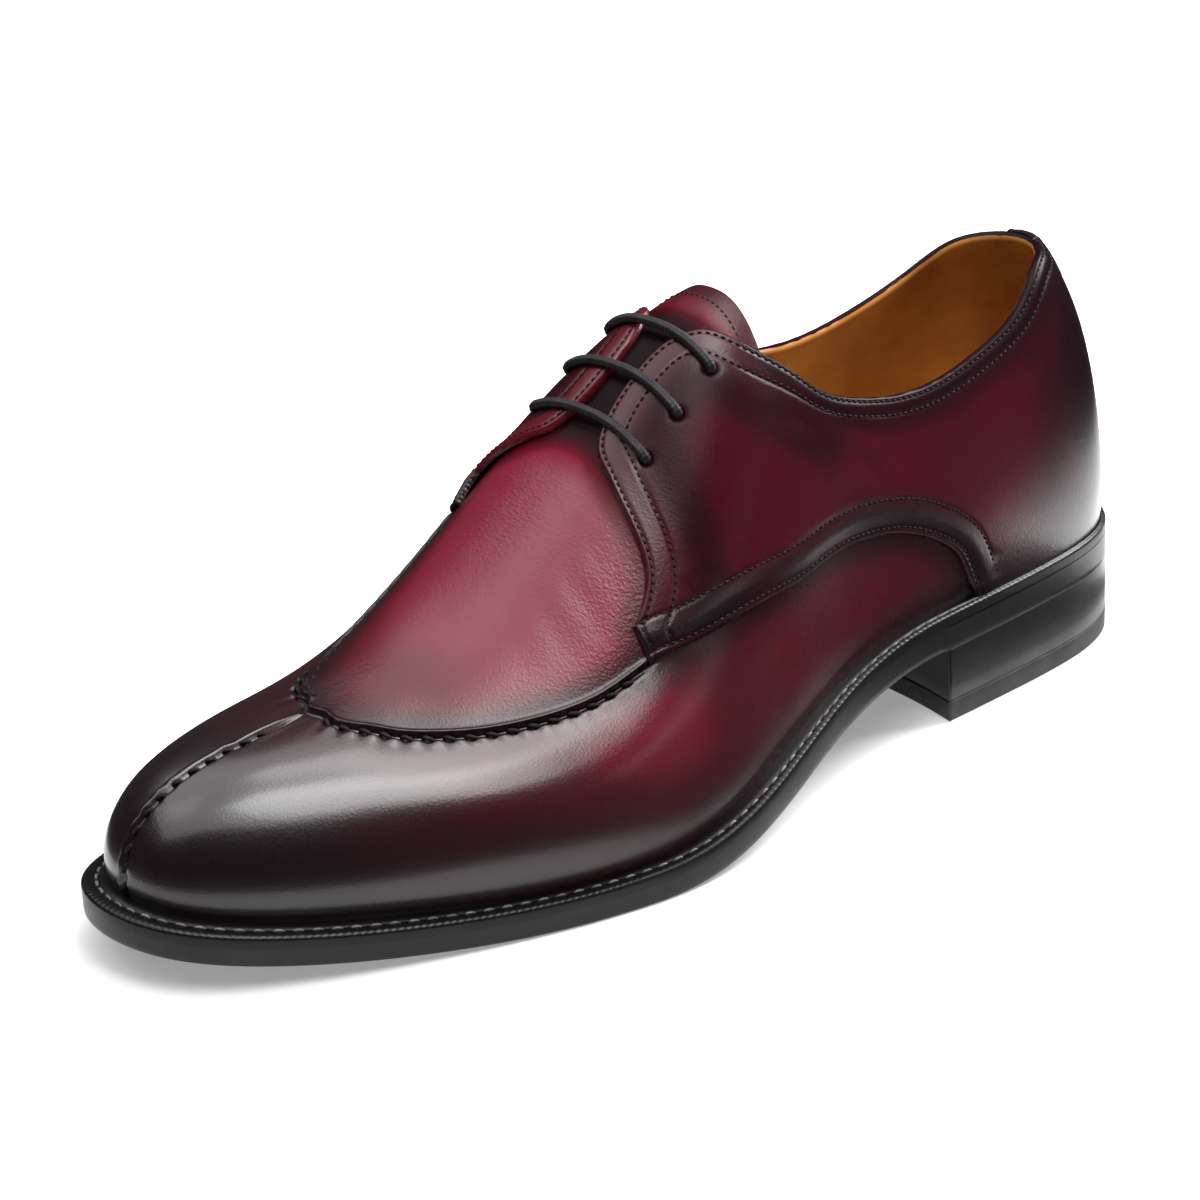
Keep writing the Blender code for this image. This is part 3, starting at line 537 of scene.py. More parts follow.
def burnished_calf():
    """Full-grain calf; the pores give a fine sparkle, the wax a soft clear shine."""
    made, tree, shader, place = start_finish("burnished_calf")
    burnish_and_shade, wrinkle, wax = [
        node(tree, "ShaderNodeAttribute", attribute_name=mark).outputs["Fac"]
        for mark in ("burnish_and_shade", "wrinkle", "wax")]
    cloud = node(tree, "ShaderNodeTexNoise", {
        "Vector": place, "Scale": per_metre(CLOUD_MM), "Detail": 2.0, "Roughness": 0.5}).outputs["Fac"]
    rub = node(tree, "ShaderNodeMath", {0: cloud, 1: 0.20, 2: -0.10}, operation="MULTIPLY_ADD").outputs[0]
    depth = node(tree, "ShaderNodeMath", {0: burnish_and_shade, 1: rub}, operation="ADD", use_clamp=True).outputs[0]
    dye_and_shade = node(tree, "ShaderNodeValToRGB", {"Fac": depth}, stops=DYE_AND_SHADE)
    dye_and_shade.color_ramp.interpolation = "EASE"
    tree.links.new(dye_and_shade.outputs["Color"], shader.inputs["Base Color"])
    pores = node(tree, "ShaderNodeTexVoronoi", {
        "Vector": place, "Scale": per_metre(PORE_MM)}).outputs["Distance"]
    fibre = node(tree, "ShaderNodeTexNoise", {
        "Vector": place, "Scale": per_metre(FIBRE_MM), "Detail": 2.0}).outputs["Fac"]
    stretch = node(tree, "ShaderNodeMapping", {
        "Vector": place, "Scale": [per_metre(size) for size in FLEX_MM]}).outputs[0]
    flex = node(tree, "ShaderNodeTexNoise", {"Vector": stretch, "Scale": 1.0, "Detail": 2.0}).outputs["Fac"]
    folds = node(tree, "ShaderNodeMath", {0: flex, 1: wrinkle}, operation="MULTIPLY").outputs[0]
    grain = node(tree, "ShaderNodeBump", {
        "Height": pores, "Strength": 0.22, "Distance": 0.12 * MM}).outputs[0]
    grain = node(tree, "ShaderNodeBump", {
        "Height": fibre, "Strength": 0.13, "Distance": 0.20 * MM, "Normal": grain}).outputs[0]
    grain = node(tree, "ShaderNodeBump", {
        "Height": folds, "Strength": 0.5, "Distance": 0.18 * MM, "Normal": grain}).outputs[0]
    tree.links.new(grain, shader.inputs["Normal"])
    # The polish stays slightly soft: a harder one would break up into patches along its clouds. The first
    # half of the wax brushes the leather up, and the second half builds a clear glaze over it.
    for value, start, end, least, most, socket in (
            (cloud, 0.3, 0.7, 0.28, 0.32, "Roughness"),
            (wax, 0.0, 0.5, 0.03, 0.42, "Specular IOR Level"),
            (wax, 0.5, 1.0, 0.01, 0.50, "Coat Weight")):
        amount = node(tree, "ShaderNodeMapRange", {
            "Value": value, "From Min": start, "From Max": end, "To Min": least, "To Max": most}).outputs[0]
        tree.links.new(amount, shader.inputs[socket])
    shader.inputs["Coat Roughness"].default_value = 0.18
    return made


CALF = burnished_calf()


# %% Plain leathers, rubber, lace and thread
ROUGHNESS_SPREAD = 0.06


def plain_finish(name, light, dark, cloud_mm, grain_mm, roughness, grain_depth, coat=0.0, shine=0.5):
    """A finish of one colour that varies in soft clouds, over a grain of a real size."""
    made, tree, shader, place = start_finish(name)
    cloud = node(tree, "ShaderNodeTexNoise", {
        "Vector": place, "Scale": per_metre(cloud_mm), "Detail": 5.0}).outputs["Fac"]
    tone = node(tree, "ShaderNodeValToRGB", {"Fac": cloud}, stops=[(0.3, light), (0.7, dark)])
    tree.links.new(tone.outputs["Color"], shader.inputs["Base Color"])
    grain = node(tree, "ShaderNodeTexNoise", {
        "Vector": place, "Scale": per_metre(grain_mm), "Detail": 4.0}).outputs["Fac"]
    bump = node(tree, "ShaderNodeBump", {
        "Height": grain, "Strength": 0.4, "Distance": grain_depth * MM}).outputs[0]
    tree.links.new(bump, shader.inputs["Normal"])
    rough = node(tree, "ShaderNodeMapRange", {
        "Value": cloud, "From Min": 0.3, "From Max": 0.7,
        "To Min": roughness - ROUGHNESS_SPREAD, "To Max": roughness + ROUGHNESS_SPREAD}).outputs[0]
    tree.links.new(rough, shader.inputs["Roughness"])
    shader.inputs["Specular IOR Level"].default_value = shine
    shader.inputs["Coat Weight"].default_value = coat
    shader.inputs["Coat Roughness"].default_value = 0.25
    return made


LINING = plain_finish("vegetable_tanned_lining", "#b9792f", "#9a5c1e", 14, 0.9, 0.50, 0.10)
SOCK = plain_finish("insole_sock_leather", "#b07a3c", "#8f5a26", 18, 1.1, 0.55, 0.12)
WELT_INK = plain_finish("inked_welt_leather", "#0f0e0f", "#080708", 9, 0.8, 0.34, 0.14, shine=0.25)
EDGE_INK = plain_finish("inked_sole_edge", "#131214", "#0b0b0c", 12, 0.7, 0.36, 0.10, shine=0.3)
SOLE_STAIN = plain_finish("stained_sole_leather", "#3a0d12", "#260a0d", 25, 1.4, 0.42, 0.12, coat=0.2)
LIFT_INK = plain_finish("inked_heel_lifts", "#131214", "#0b0b0c", 11, 0.9, 0.34, 0.08, shine=0.3)
HEEL_RUBBER = plain_finish("moulded_rubber", "#151515", "#0d0d0d", 7, 0.6, 0.62, 0.10)
WAXED_CORD = plain_finish("waxed_cotton_cord", "#201d20", "#121012", 2.0, 0.35, 0.60, 0.12, shine=0.3)
DARK_THREAD = plain_finish("waxed_dark_thread", "#0e0809", "#070405", 1.5, 0.3, 0.62, 0.05, shine=0.2)
WELT_THREAD = plain_finish("waxed_grey_thread", "#67635f", "#3d3b39", 3.0, 0.4, 0.50, 0.06)
print("finishes:", len(bpy.data.materials))

# %% [markdown]
# ## Sewing
# A stitch is a short thread lying on the leather with both ends drawn down into their holes. One helper
# walks along a path and lays a stitch at each pitch, so every row is real thread and not a drawn line.


# %% A row of stitches
STITCH_SIDES, STITCH_RINGS = 8, 7


def sew(name, path, up, pitch, length, width, finish, slant=0.0, height=0.75, run=None):
    """Lay stitches along a path of millimetre points; slant turns each one off the line, in degrees."""
    if run is None:
        run = run_along(path)
    places = np.arange(pitch / 2, run[-1] - length / 2, pitch)
    centre = np.stack([np.interp(places, run, path[:, i]) for i in range(3)], -1)
    lift = np.stack([np.interp(places, run, up[:, i]) for i in range(3)], -1)
    ahead = np.stack([np.interp(places + 0.3, run, path[:, i]) for i in range(3)], -1) - centre
    lift /= np.linalg.norm(lift, axis=1, keepdims=True)
    ahead /= np.linalg.norm(ahead, axis=1, keepdims=True)
    beside = np.cross(lift, ahead)
    turned = ahead * math.cos(math.radians(slant)) + beside * math.sin(math.radians(slant))
    beside = np.cross(lift, turned)
    s = np.linspace(-1, 1, STITCH_RINGS)
    thick = np.sqrt(np.clip(1 - np.abs(s) ** 3, 0.02, 1)) * width / 2
    sink = -0.9 * width * np.abs(s) ** 4
    theta = np.linspace(0, 2 * math.pi, STITCH_SIDES, endpoint=False)
    side = np.cos(theta)[None, :] * thick[:, None]
    rise = np.sin(theta)[None, :] * thick[:, None] * height + sink[:, None]
    points = (centre[:, None, None] + turned[:, None, None] * (s * length / 2)[None, :, None, None]
              + beside[:, None, None] * side[None, :, :, None] + lift[:, None, None] * rise[None, :, :, None])
    one = []
    for ring in range(STITCH_RINGS - 1):
        for i in range(STITCH_SIDES):
            j = (i + 1) % STITCH_SIDES
            low, high = ring * STITCH_SIDES, (ring + 1) * STITCH_SIDES
            one.append((low + i, low + j, high + j, high + i))
    one.append(tuple(range(STITCH_SIDES))[::-1])
    one.append(tuple(range((STITCH_RINGS - 1) * STITCH_SIDES, STITCH_RINGS * STITCH_SIDES)))
    each = STITCH_SIDES * STITCH_RINGS
    faces = [[i + each * n for i in face] for n in range(len(places)) for face in one]
    return add_piece(name, points, faces, finish)


# %% [markdown]
# ## Vamp and apron
# The vamp wraps the foot from the waist round the toe, and the apron lies on top of it. The two are sewn
# edge to edge by hand, so the apron's edge stands up as a smooth lip and the thread draws small scallops
# into the vamp beside it. A second seam of the same kind splits the toe down to the welt. Panel and seams
# are one fine grid here, so that the lip rises out of the same leather.

# %% Grid of the vamp and apron
VAMP_BACK, APRON_BACK = 60.0, 158.0
VAMP_COLUMNS = 560
WING_ROWS, APRON_ROWS = 30, 30
SEAM_STEPS = np.array([-3.2, -2.5, -2.0, -1.6, -1.3, -1.0, -0.7, -0.45, -0.2, 0.0, 0.25, 0.5, 0.75, 1.0, 1.25,
                       1.55, 1.9, 2.4, 3.2])
APRON_PITCH, TOE_PITCH = 4.7, 4.6
LIP_HEIGHT, LIP_AT, LIP_WIDTH = 0.80, 0.65, 0.60
DRAW_DEPTH, DRAW_AT, DRAW_WIDTH = 0.80, -0.80, 0.70
SCALLOP, TOOTH = 0.16, 0.40

back = float(angle_at(VAMP_BACK))
u = np.linspace(-1, 1, VAMP_COLUMNS + 1)
angles = math.pi + (math.pi - back) * (0.55 * u + 0.45 * u ** 3)
vamp_side = np.where(angles <= math.pi + 1e-9, 1, -1)[:, None]
vamp_foot = foot_at(angles)[:, None]
vamp_seam = turn_on(vamp_side, vamp_foot, seam_turn(vamp_foot))
SEAM_PROBE = 0.002
above = last_point(vamp_side, vamp_foot, vamp_seam + SEAM_PROBE)
below = last_point(vamp_side, vamp_foot, vamp_seam - SEAM_PROBE)
turn_per_mm = 2 * SEAM_PROBE / np.linalg.norm(above - below, axis=-1)
low_end = np.maximum(vamp_seam + SEAM_STEPS[0] * turn_per_mm, 0.25 * vamp_seam)
high_end = np.minimum(vamp_seam + SEAM_STEPS[-1] * turn_per_mm, 0.995)
wing = low_end * np.linspace(0, 1, WING_ROWS, endpoint=False)
steps = vamp_seam + np.where(SEAM_STEPS < 0, (low_end - vamp_seam) * SEAM_STEPS / SEAM_STEPS[0],
                             (high_end - vamp_seam) * SEAM_STEPS / SEAM_STEPS[-1])
apron = high_end + (1 - high_end) * np.linspace(0, 1, APRON_ROWS + 1)[1:]
vamp_turn = np.hstack([wing, steps, apron])
SEAM_ROW = WING_ROWS + int(np.argmin(np.abs(SEAM_STEPS)))
vamp_points = last_point(vamp_side, vamp_foot, vamp_turn)
print("vamp grid:", vamp_turn.shape)

# %% Lip, drawn thread and scallops of the hand-sewn seams
centre_column = VAMP_COLUMNS // 2
rise = np.array([run_along(column) for column in vamp_points])
from_seam = rise - rise[:, SEAM_ROW:SEAM_ROW + 1]
seam_run = run_along(vamp_points[:, SEAM_ROW])[:, None]
seam_run = np.abs(seam_run - seam_run[centre_column])
sewn = smooth_step((vamp_foot - FACING_TIP + 2) / 4)


def hand_seam(distance, run, pitch, puckered, notched):
    """Height of the leather across a hand-sewn seam; distance grows towards the lip."""
    wave = np.cos(2 * math.pi * run / pitch)
    lip = LIP_HEIGHT * bell(distance - LIP_AT, LIP_WIDTH) * (1 - notched * (0.5 - 0.5 * wave))
    drawn = -DRAW_DEPTH * bell(distance - DRAW_AT, DRAW_WIDTH * (1 - TOOTH * puckered * wave))
    return lip + drawn + SCALLOP * puckered * wave * bell(distance + 2.1, 1.0)


SHOULDER = [
    # mm from the seam, mm of fullness
    (-60, 0.0), (-52, 0.05), (-42, 0.45), (-30, 1.40), (-22, 2.20), (-16, 2.40), (-12, 2.05), (-8, 1.40),
    (-5, 0.75), (-3, 0.30), (-0.5, 0.0), (3, 0.0),
]
SHOULDER_MOST, SHOULDER_MEDIAL, SHOULDER_FROM, SHOULDER_TO = 1.8, 0.2, (140, 200), (205, 280)
from_toe = np.linalg.norm(vamp_points - vamp_points[centre_column][None], axis=2)
from_toe = np.where(vamp_side > 0, -from_toe, from_toe)
below_apron = smooth_step((-from_seam - 1.2) / 5)
vamp_lift = sewn * hand_seam(from_seam, seam_run, APRON_PITCH, smooth_step((seam_run - 3) / 5), 0.0)
vamp_lift = vamp_lift + 0.9 * below_apron * hand_seam(from_toe, rise, TOE_PITCH, 1.0, 0.6)
full = spline(*np.array(SHOULDER, float).T)(from_seam)
begun, ended = ((vamp_foot - a) / (b - a) for a, b in (SHOULDER_FROM, SHOULDER_TO))
full = np.maximum(full, 0) * np.where(vamp_side > 0, SHOULDER_MOST, SHOULDER_MEDIAL)
vamp_lift = vamp_lift + full * smooth_step(begun) * (1 - smooth_step(ended))
vamp_lift = vamp_lift - np.where(from_seam > 0, 0.9, 0) * smooth_step((167 - vamp_foot) / 8)

# %% [markdown]
# Leather remembers the foot: soft creases cross the apron just before the facings, where the shoe bends,
# and shallower ones run over the quarters below the collar. Each crease is a short line on the last, and
# the leather dips along it and swells a little to both sides.

# %% Creases
APRON_CREASES = [
    # foot and turn at both ends, depth, width
    (187.0, 0.60, 181.0, 0.86, 0.12, 2.2), (194.0, 0.62, 188.0, 0.90, 0.10, 2.6),
    (180.0, 0.72, 176.0, 0.95, 0.10, 1.8), (203.0, 0.66, 198.0, 0.92, 0.08, 3.0),
]
QUARTER_CREASES = [
    (122.0, 0.42, 98.0, 0.30, 0.20, 1.8), (112.0, 0.44, 92.0, 0.36, 0.16, 1.5),
    (130.0, 0.55, 112.0, 0.40, 0.14, 2.0), (156.0, 0.44, 166.0, 0.50, 0.20, 1.6),
    (150.0, 0.42, 160.0, 0.46, 0.12, 1.8),
]


def creases(side, points, strokes):
    """Sum of soft troughs, each with a low swell along its sides."""
    total = np.zeros(points.shape[:-1])
    for foot0, turn0, foot1, turn1, depth, width in strokes:
        t = np.linspace(0, 1, 120)
        foot = foot0 + (foot1 - foot0) * t + 1.2 * np.sin(5 * t + foot0)
        turn = turn_on(side, foot, turn0 + (turn1 - turn0) * t + 0.008 * np.sin(7 * t + foot0))
        path = last_point(side, foot, turn)
        d = distance_to(points, path)
        ends = bell(np.linalg.norm(points - path.mean(0), axis=-1), 0.55 * np.linalg.norm(path[-1] - path[0]))
        total += depth * ends * (0.6 * bell(d - 2.2 * width, 1.2 * width) - bell(d, width))
    return total


for side in SIDES.values():
    half = vamp_side[:, 0] == side
    vamp_lift[half] += creases(side, vamp_points[half], APRON_CREASES) * smooth_step(from_seam[half] / 4)
print("deepest crease %.2f mm" % vamp_lift.min())


# %% [markdown]
# Darkening goes on in layers, and each takes a share of the red that the others leave. Burnish darkens the
# toe, the apron's front and both sides of each seam, and the vamp is darker towards its back. Painted shade
# darkens the leather towards the welt, in the groove of the drawn thread, below the quarter's edge, beside
# the facings, in the throat and along the medial seam. The wax follows the toe and the edge above the welt.


# %% Burnish of the vamp and apron
def darken(*shares):
    """Layers of burnish and painted shade over each other: each one leaves less of the red."""
    left = 1.0
    for share in shares:
        left = left * (1 - np.clip(share, 0, 1))
    return 1 - left


TOE_BURNISH_AT, TOE_BURNISH = (150, 190, 210, 230, 250, 265, 280), (0, 0.14, 0.32, 0.55, 0.80, 0.94, 1)
# How far up from the welt the painted shade reaches, in mm, at each foot position
WELT_SHADE_AT, WELT_SHADE_MM = (120, 165, 200), (8, 13, 23)
TOE_WAX_AT, TOE_WAX = (140, 190, 230, 270), (0.03, 0.60, 0.95, 1.0)
APRON_WAX, WELT_WAX, WELT_WAX_MM = 0.5, 0.95, 7.0
APRON_FLEX, APRON_FLEX_MM = 181, 13.0
LIP_ROWS = 9
height = vamp_points[..., 2] - feather_height(vamp_foot)
on_apron = smooth_step(from_seam / 2)
x = vamp_points[..., 0]
low_edge = np.vstack([last_point(s, *EDGES[s, "lower"]) for s in (1, -1)])
facing_edge = np.vstack([last_point(s, *EDGES[s, "upper"]) for s in (1, -1)])
by_quarter = distance_to(vamp_points, low_edge)
by_facing = distance_to(vamp_points, facing_edge)
vamp_burnish_and_shade = darken(
    (1 - on_apron) * np.interp(x, TOE_BURNISH_AT, TOE_BURNISH),
    on_apron * 0.40 * smooth_step((x - 200) / 45),
    # Painted shade: the upper darkens towards the welt
    0.85 * bell(height, np.interp(x, WELT_SHADE_AT, WELT_SHADE_MM)),
    sewn * np.where(from_seam > 0, 0.85 * bell(from_seam, 5.0), 0.45 * bell(from_seam, 6.0)),
    # Painted shade in the groove where the seam's thread is drawn down
    0.97 * sewn * bell(from_seam + 0.8, 1.0),
    # Painted shadow on the vamp just below the quarter's lower edge
    0.75 * bell(by_quarter, 6.0) * (1 - on_apron),
    # Painted shade beside the facing and collar edges, which overhang the vamp
    0.40 * bell(by_facing, 4.0),
    # Painted shade: the apron goes dark where it runs in under the facings at the throat
    0.9 * on_apron * smooth_step((169 - vamp_foot) / 6),
    # Painted shade on the apron along the medial seam only
    0.55 * on_apron * bell(from_seam, 9.0) * (vamp_side < 0),
    0.45 * (1 - on_apron) * smooth_step((186 - x) / 26),
)
apron_wax = APRON_WAX * smooth_step((vamp_foot - 168) / 6)
vamp_wax = np.where(from_seam > 0, apron_wax, np.interp(x, TOE_WAX_AT, TOE_WAX))
vamp_wax = vamp_wax + WELT_WAX * bell(height, WELT_WAX_MM) * smooth_step((180 - x) / 20)
vamp_wrinkle = on_apron * bell(vamp_foot - APRON_FLEX, APRON_FLEX_MM) + 0.15 * on_apron
keep_rows = np.arange(vamp_turn.shape[1] - 1)[None, :] < SEAM_ROW + LIP_ROWS
keep_cells = keep_rows | (np.minimum(vamp_foot[:-1], vamp_foot[1:]) > APRON_BACK)
vamp_skin = skin(vamp_side, vamp_foot, vamp_turn, vamp_lift)
vamp_skin[:, 0, 2] -= 2 * GAP
vamp_marks = {"burnish_and_shade": vamp_burnish_and_shade, "wrinkle": vamp_wrinkle, "wax": vamp_wax}
add_piece("vamp_and_apron", vamp_skin, quads(*vamp_turn.shape, keep=keep_cells), CALF,
          replaces=["upper"], marks=vamp_marks, weld=0.02)

# %% Thread of the apron seam and of the toe seam
APRON_STITCH, APRON_THREAD = 3.9, 1.2
TOE_STITCH, TOE_THREAD, TOE_SLANT = 3.7, 1.3, -32.0
seam_feet = np.linspace(FACING_TIP + 2, TOE_X - 0.02, 1500)
SEAM_THREADS = [
    # piece, side, mm from the seam, 1 above or -1 below it, slant
    ("apron_stitches_lateral", 1, 0.95, -1, -20.0), ("apron_stitches_medial", -1, 0.95, -1, 20.0),
    ("apron_stitches_inner", -1, 1.6, 1, 24.0),
]
for label, side, away, toward, slant in SEAM_THREADS:
    foot, turn = pattern_path(side, seam_feet, seam_turn(seam_feet))
    run = run_along(last_point(side, foot, turn)[::-1])
    foot, turn = (values[::-1] for values in inset(side, foot, turn, away, toward))
    sew(label, skin(side, foot, turn, 0.0), skin_normal(side, foot, turn), APRON_PITCH, APRON_STITCH,
        APRON_THREAD, DARK_THREAD, slant=slant, run=run - APRON_PITCH)
toe_turn = np.linspace(0.03, 0.90, 300)
toe_angle = math.pi - 0.012 / np.maximum(np.cos(toe_turn * math.pi / 2), 0.15) ** 0.46
toe_path = skin(1, foot_at(toe_angle), toe_turn, -0.05)
toe_up = skin_normal(np.ones(len(toe_turn)), foot_at(toe_angle), toe_turn)
sew("toe_stitches", toe_path, toe_up, TOE_PITCH, TOE_STITCH, TOE_THREAD, DARK_THREAD,
    slant=TOE_SLANT)

# %% [markdown]
# ## Quarters
# The quarters are the two side panels. Their lower edge is folded under and sewn down with two rows, and
# the facing and the collar are edged with two rows more. The grid runs from the lower edge to the upper
# one, and the height of each point depends on how far it is from those edges: a rounded fold first, then
# a shallow ditch under every row of thread.

# %% Height of the quarter leather
FOLD = 1.2
LOWER_ROWS = (1.7, 8.6)
FACING_ROWS = (1.5, 6.6)
COLLAR_ROWS = (1.2, 4.6)
DITCH_DEPTH, DITCH_WIDTH = 0.22, 0.55
FACING_GAPE = 1.5
COLLAR_PADDING, SEAM_PADDING, SEAM_BAND = 0.12, 0.30, sum(LOWER_ROWS) / 2
EYELET_DEPTH, EYELET_WIDTH = 1.3, 1.35


def fold(distance, radius):
    """Quarter-round edge: 0 at the edge, 1 from the radius inward."""
    return np.sqrt(np.clip(1 - (1 - np.clip(distance / radius, 0, 1)) ** 2, 0, 1))


def upper_rows(foot):
    """How far the two upper rows lie from the edge, from the collar on to the facing."""
    t = smooth_step((foot - 112) / 20)
    return [c + (f - c) * t for c, f in zip(COLLAR_ROWS, FACING_ROWS)]


def gape(side, foot, by_upper):
    """The medial facing stands a little off the vamp in front of the lowest lace bar."""
    return np.where(side > 0, 0.25, 1.0) * FACING_GAPE * bell(foot - 171.5, 6.0) * bell(by_upper, 7.0)


def from_eyelets(side, points):
    """Distance of each point to the middle of each eyelet."""
    feet = np.array(EYELET_FEET)
    holes = last_point(side, feet, turn_on(side, feet, EYELET_TURN))
    return [np.linalg.norm(points - hole, axis=-1) for hole in holes]


def quarter_height(side, foot, points, by_lower, by_upper):
    """Height of the quarter's outer face over the last, with its folds, ditches, holes and creases."""
    lift = QUARTER * np.minimum(fold(by_lower, FOLD), fold(by_upper, FOLD))
    for row in LOWER_ROWS:
        lift = lift - DITCH_DEPTH * bell(by_lower - row, DITCH_WIDTH)
    for row in upper_rows(foot):
        lift = lift - DITCH_DEPTH * bell(by_upper - row, DITCH_WIDTH)
    first, second = upper_rows(foot)
    padding = COLLAR_PADDING * bell(by_upper - (first + second) / 2, 0.3 * (second - first))
    padding = padding * smooth_step((128 - foot) / 14)
    band = SEAM_PADDING * bell(by_lower - SEAM_BAND, 2.2)
    for distance in from_eyelets(side, points):
        lift = lift - EYELET_DEPTH * bell(distance, EYELET_WIDTH)
    return lift + padding + band + gape(side, foot, by_upper) + creases(side, points, QUARTER_CREASES)


# %% Cut both quarters
QUARTER_ROWS = 130
QUARTER_FEET = np.unique(np.r_[
    foot_at(np.linspace(0, float(angle_at(62.0)), 46)),
    np.linspace(62, 78, 44), np.linspace(78, 135, 70), np.linspace(135, 163, 46),
    np.linspace(163, FACING_TIP, 70)])
# How much lighter the facing band is on each side; the medial facing is lightened more, and that extra is
# painted light
FACING_FADE_AND_PAINTED_LIGHT = {1: 0.55, -1: 0.80}
QUARTER_DYE, HEEL_WAX_MM, QUARTER_WRINKLE = 0.50, 16.0, 0.25
share = np.linspace(0, 1, QUARTER_ROWS)
share = 0.55 * share + 0.45 * (1 - np.cos(math.pi * share)) / 2
for label, side in SIDES.items():
    foot = QUARTER_FEET[:, None]
    low = turn_on(side, foot, bottom_turn(foot))
    turn = low + (turn_on(side, foot, top_turn(foot)) - low) * share
    points = last_point(side, np.broadcast_to(foot, turn.shape), turn)
    by_lower = distance_to(points, last_point(side, *EDGES[side, "lower"]))
    by_upper = distance_to(points, last_point(side, *EDGES[side, "upper"]))
    lift = quarter_height(side, foot, points, by_lower, by_upper)
    shell = skin(side, foot, turn, lift)
    shell[:, 0, 2] -= np.where(QUARTER_FEET < SEAM_FOOT, 2 * GAP, 0)
    skirt = skin(side, foot[:, 0], turn[:, 0], np.full(len(foot), -0.5))
    rim = skin(side, foot[:, 0], turn[:, -1], np.full(len(foot), -0.45) + gape(side, foot[:, 0], 0.0))
    shell = np.concatenate([skirt[:, None], shell, rim[:, None]], axis=1)
    height = points[..., 2] - feather_height(foot)
    facing = bell(by_upper - 2, 7.0) * smooth_step((foot - 122) / 14)
    burnish_and_shade = darken(
        0.90 * bell(by_lower - 4, 5.5),
        # The facing band is lightened, the medial one more; that extra is painted light
        0.85 * bell(by_upper - 2, 7.0) - FACING_FADE_AND_PAINTED_LIGHT[side] * facing,
        0.65 * bell(by_upper - 13, 6.0) * smooth_step((foot - 106) / 14) * smooth_step((172 - foot) / 14),
        # Painted shade: the quarter darkens towards the welt
        0.85 * bell(height, 10.0),
        0.97 * smooth_step((58 - points[..., 0]) / 40),
        QUARTER_DYE - 0.28 * facing,
    )
    # Painted shade: the leather goes black in each eyelet hole
    for distance in from_eyelets(side, points):
        burnish_and_shade = np.maximum(burnish_and_shade, 1 - smooth_step((distance - 1.5) / 0.9))
    wax = 0.03 + 0.95 * bell(height, HEEL_WAX_MM) * smooth_step((78 - points[..., 0]) / 25)
    wax = np.maximum(wax, 0.40 * facing)
    wax = np.maximum(wax, 0.45 * bell(by_lower - SEAM_BAND, 3.5))
    marks = {"burnish_and_shade": burnish_and_shade, "wrinkle": np.full(burnish_and_shade.shape, QUARTER_WRINKLE), "wax": wax}
    marks = {mark: np.pad(values, ((0, 0), (1, 1)), "edge") for mark, values in marks.items()}
    add_piece("quarter_" + label, shell, quads(*shell.shape[:2], flip=side < 0), CALF,
              marks=marks)

# %% Thread of the quarters
UPPER_PITCH, UPPER_STITCH, UPPER_THREAD = 1.9, 1.45, 0.55
THREAD_LIFT, CLEAR_OF_EDGE = QUARTER - 0.05, 1.4
for label, side in SIDES.items():
    lower, upper = EDGES[side, "lower"], EDGES[side, "upper"]
    for number, row in enumerate(LOWER_ROWS, 1):
        foot, turn = inset(side, *lower, row, 1)
        clear = distance_to(last_point(side, foot, turn), last_point(side, *upper)) > CLEAR_OF_EDGE
        clear &= turn > 0.012
        foot, turn = foot[clear], turn[clear]
        lift = THREAD_LIFT + gape(side, foot, 8.0)
        sew("lower_row_%d_%s" % (number, label), skin(side, foot, turn, lift), skin_normal(side, foot, turn),
            UPPER_PITCH, UPPER_STITCH, UPPER_THREAD, DARK_THREAD)
    for number, row in enumerate(upper_rows(upper[0]), 1):
        foot, turn = inset(side, *upper, row, -1)
        clear = distance_to(last_point(side, foot, turn), last_point(side, *upper)) > 0.9 * row
        clear &= distance_to(last_point(side, foot, turn), last_point(side, *lower)) > CLEAR_OF_EDGE
        foot, turn = foot[clear], turn[clear]
        lift = THREAD_LIFT + gape(side, foot, row[clear])
        sew("upper_row_%d_%s" % (number, label), skin(side, foot, turn, lift), skin_normal(side, foot, turn),
            UPPER_PITCH, UPPER_STITCH, UPPER_THREAD, DARK_THREAD)

# %% [markdown]
# ## Back tab
# A small tab covers the place where the two quarters meet at the heel. It is folded over the collar's rim
# and sewn down on three sides. The stretch of leather under it is nearly flat, so it is drawn in
# millimetres across and down, and carried onto the last by the size of one small step each way.

# %% Back tab
TAB_HALF, TAB_TALL, TAB_THICK = 4.5, 13.0, 0.9
TAB_COLUMNS, TAB_ROWS, TAB_SEAM = 37, 49, 1.4
TAB_ANGLE_STEP, TAB_TURN_STEP = 0.05, 0.02
tab_top = float(top_turn(np.array(HEEL_X)))
heel_top = last_point(1, HEEL_X, tab_top)
beside_it = last_point(1, foot_at(TAB_ANGLE_STEP), tab_top)
below_it = last_point(1, HEEL_X, tab_top - TAB_TURN_STEP)
angle_per_mm = TAB_ANGLE_STEP / np.linalg.norm(beside_it - heel_top)
turn_per_mm = TAB_TURN_STEP / np.linalg.norm(below_it - heel_top)


def on_tab(across_mm, down_mm, lift):
    """A point of the back tab, in mm from the middle of the heel and down from the collar's edge."""
    angle = across_mm * angle_per_mm
    side, foot = side_at(angle), foot_at(angle)
    turn = top_turn(foot) - down_mm * turn_per_mm
    return skin(side, foot, turn, lift), skin_normal(side, foot, turn)


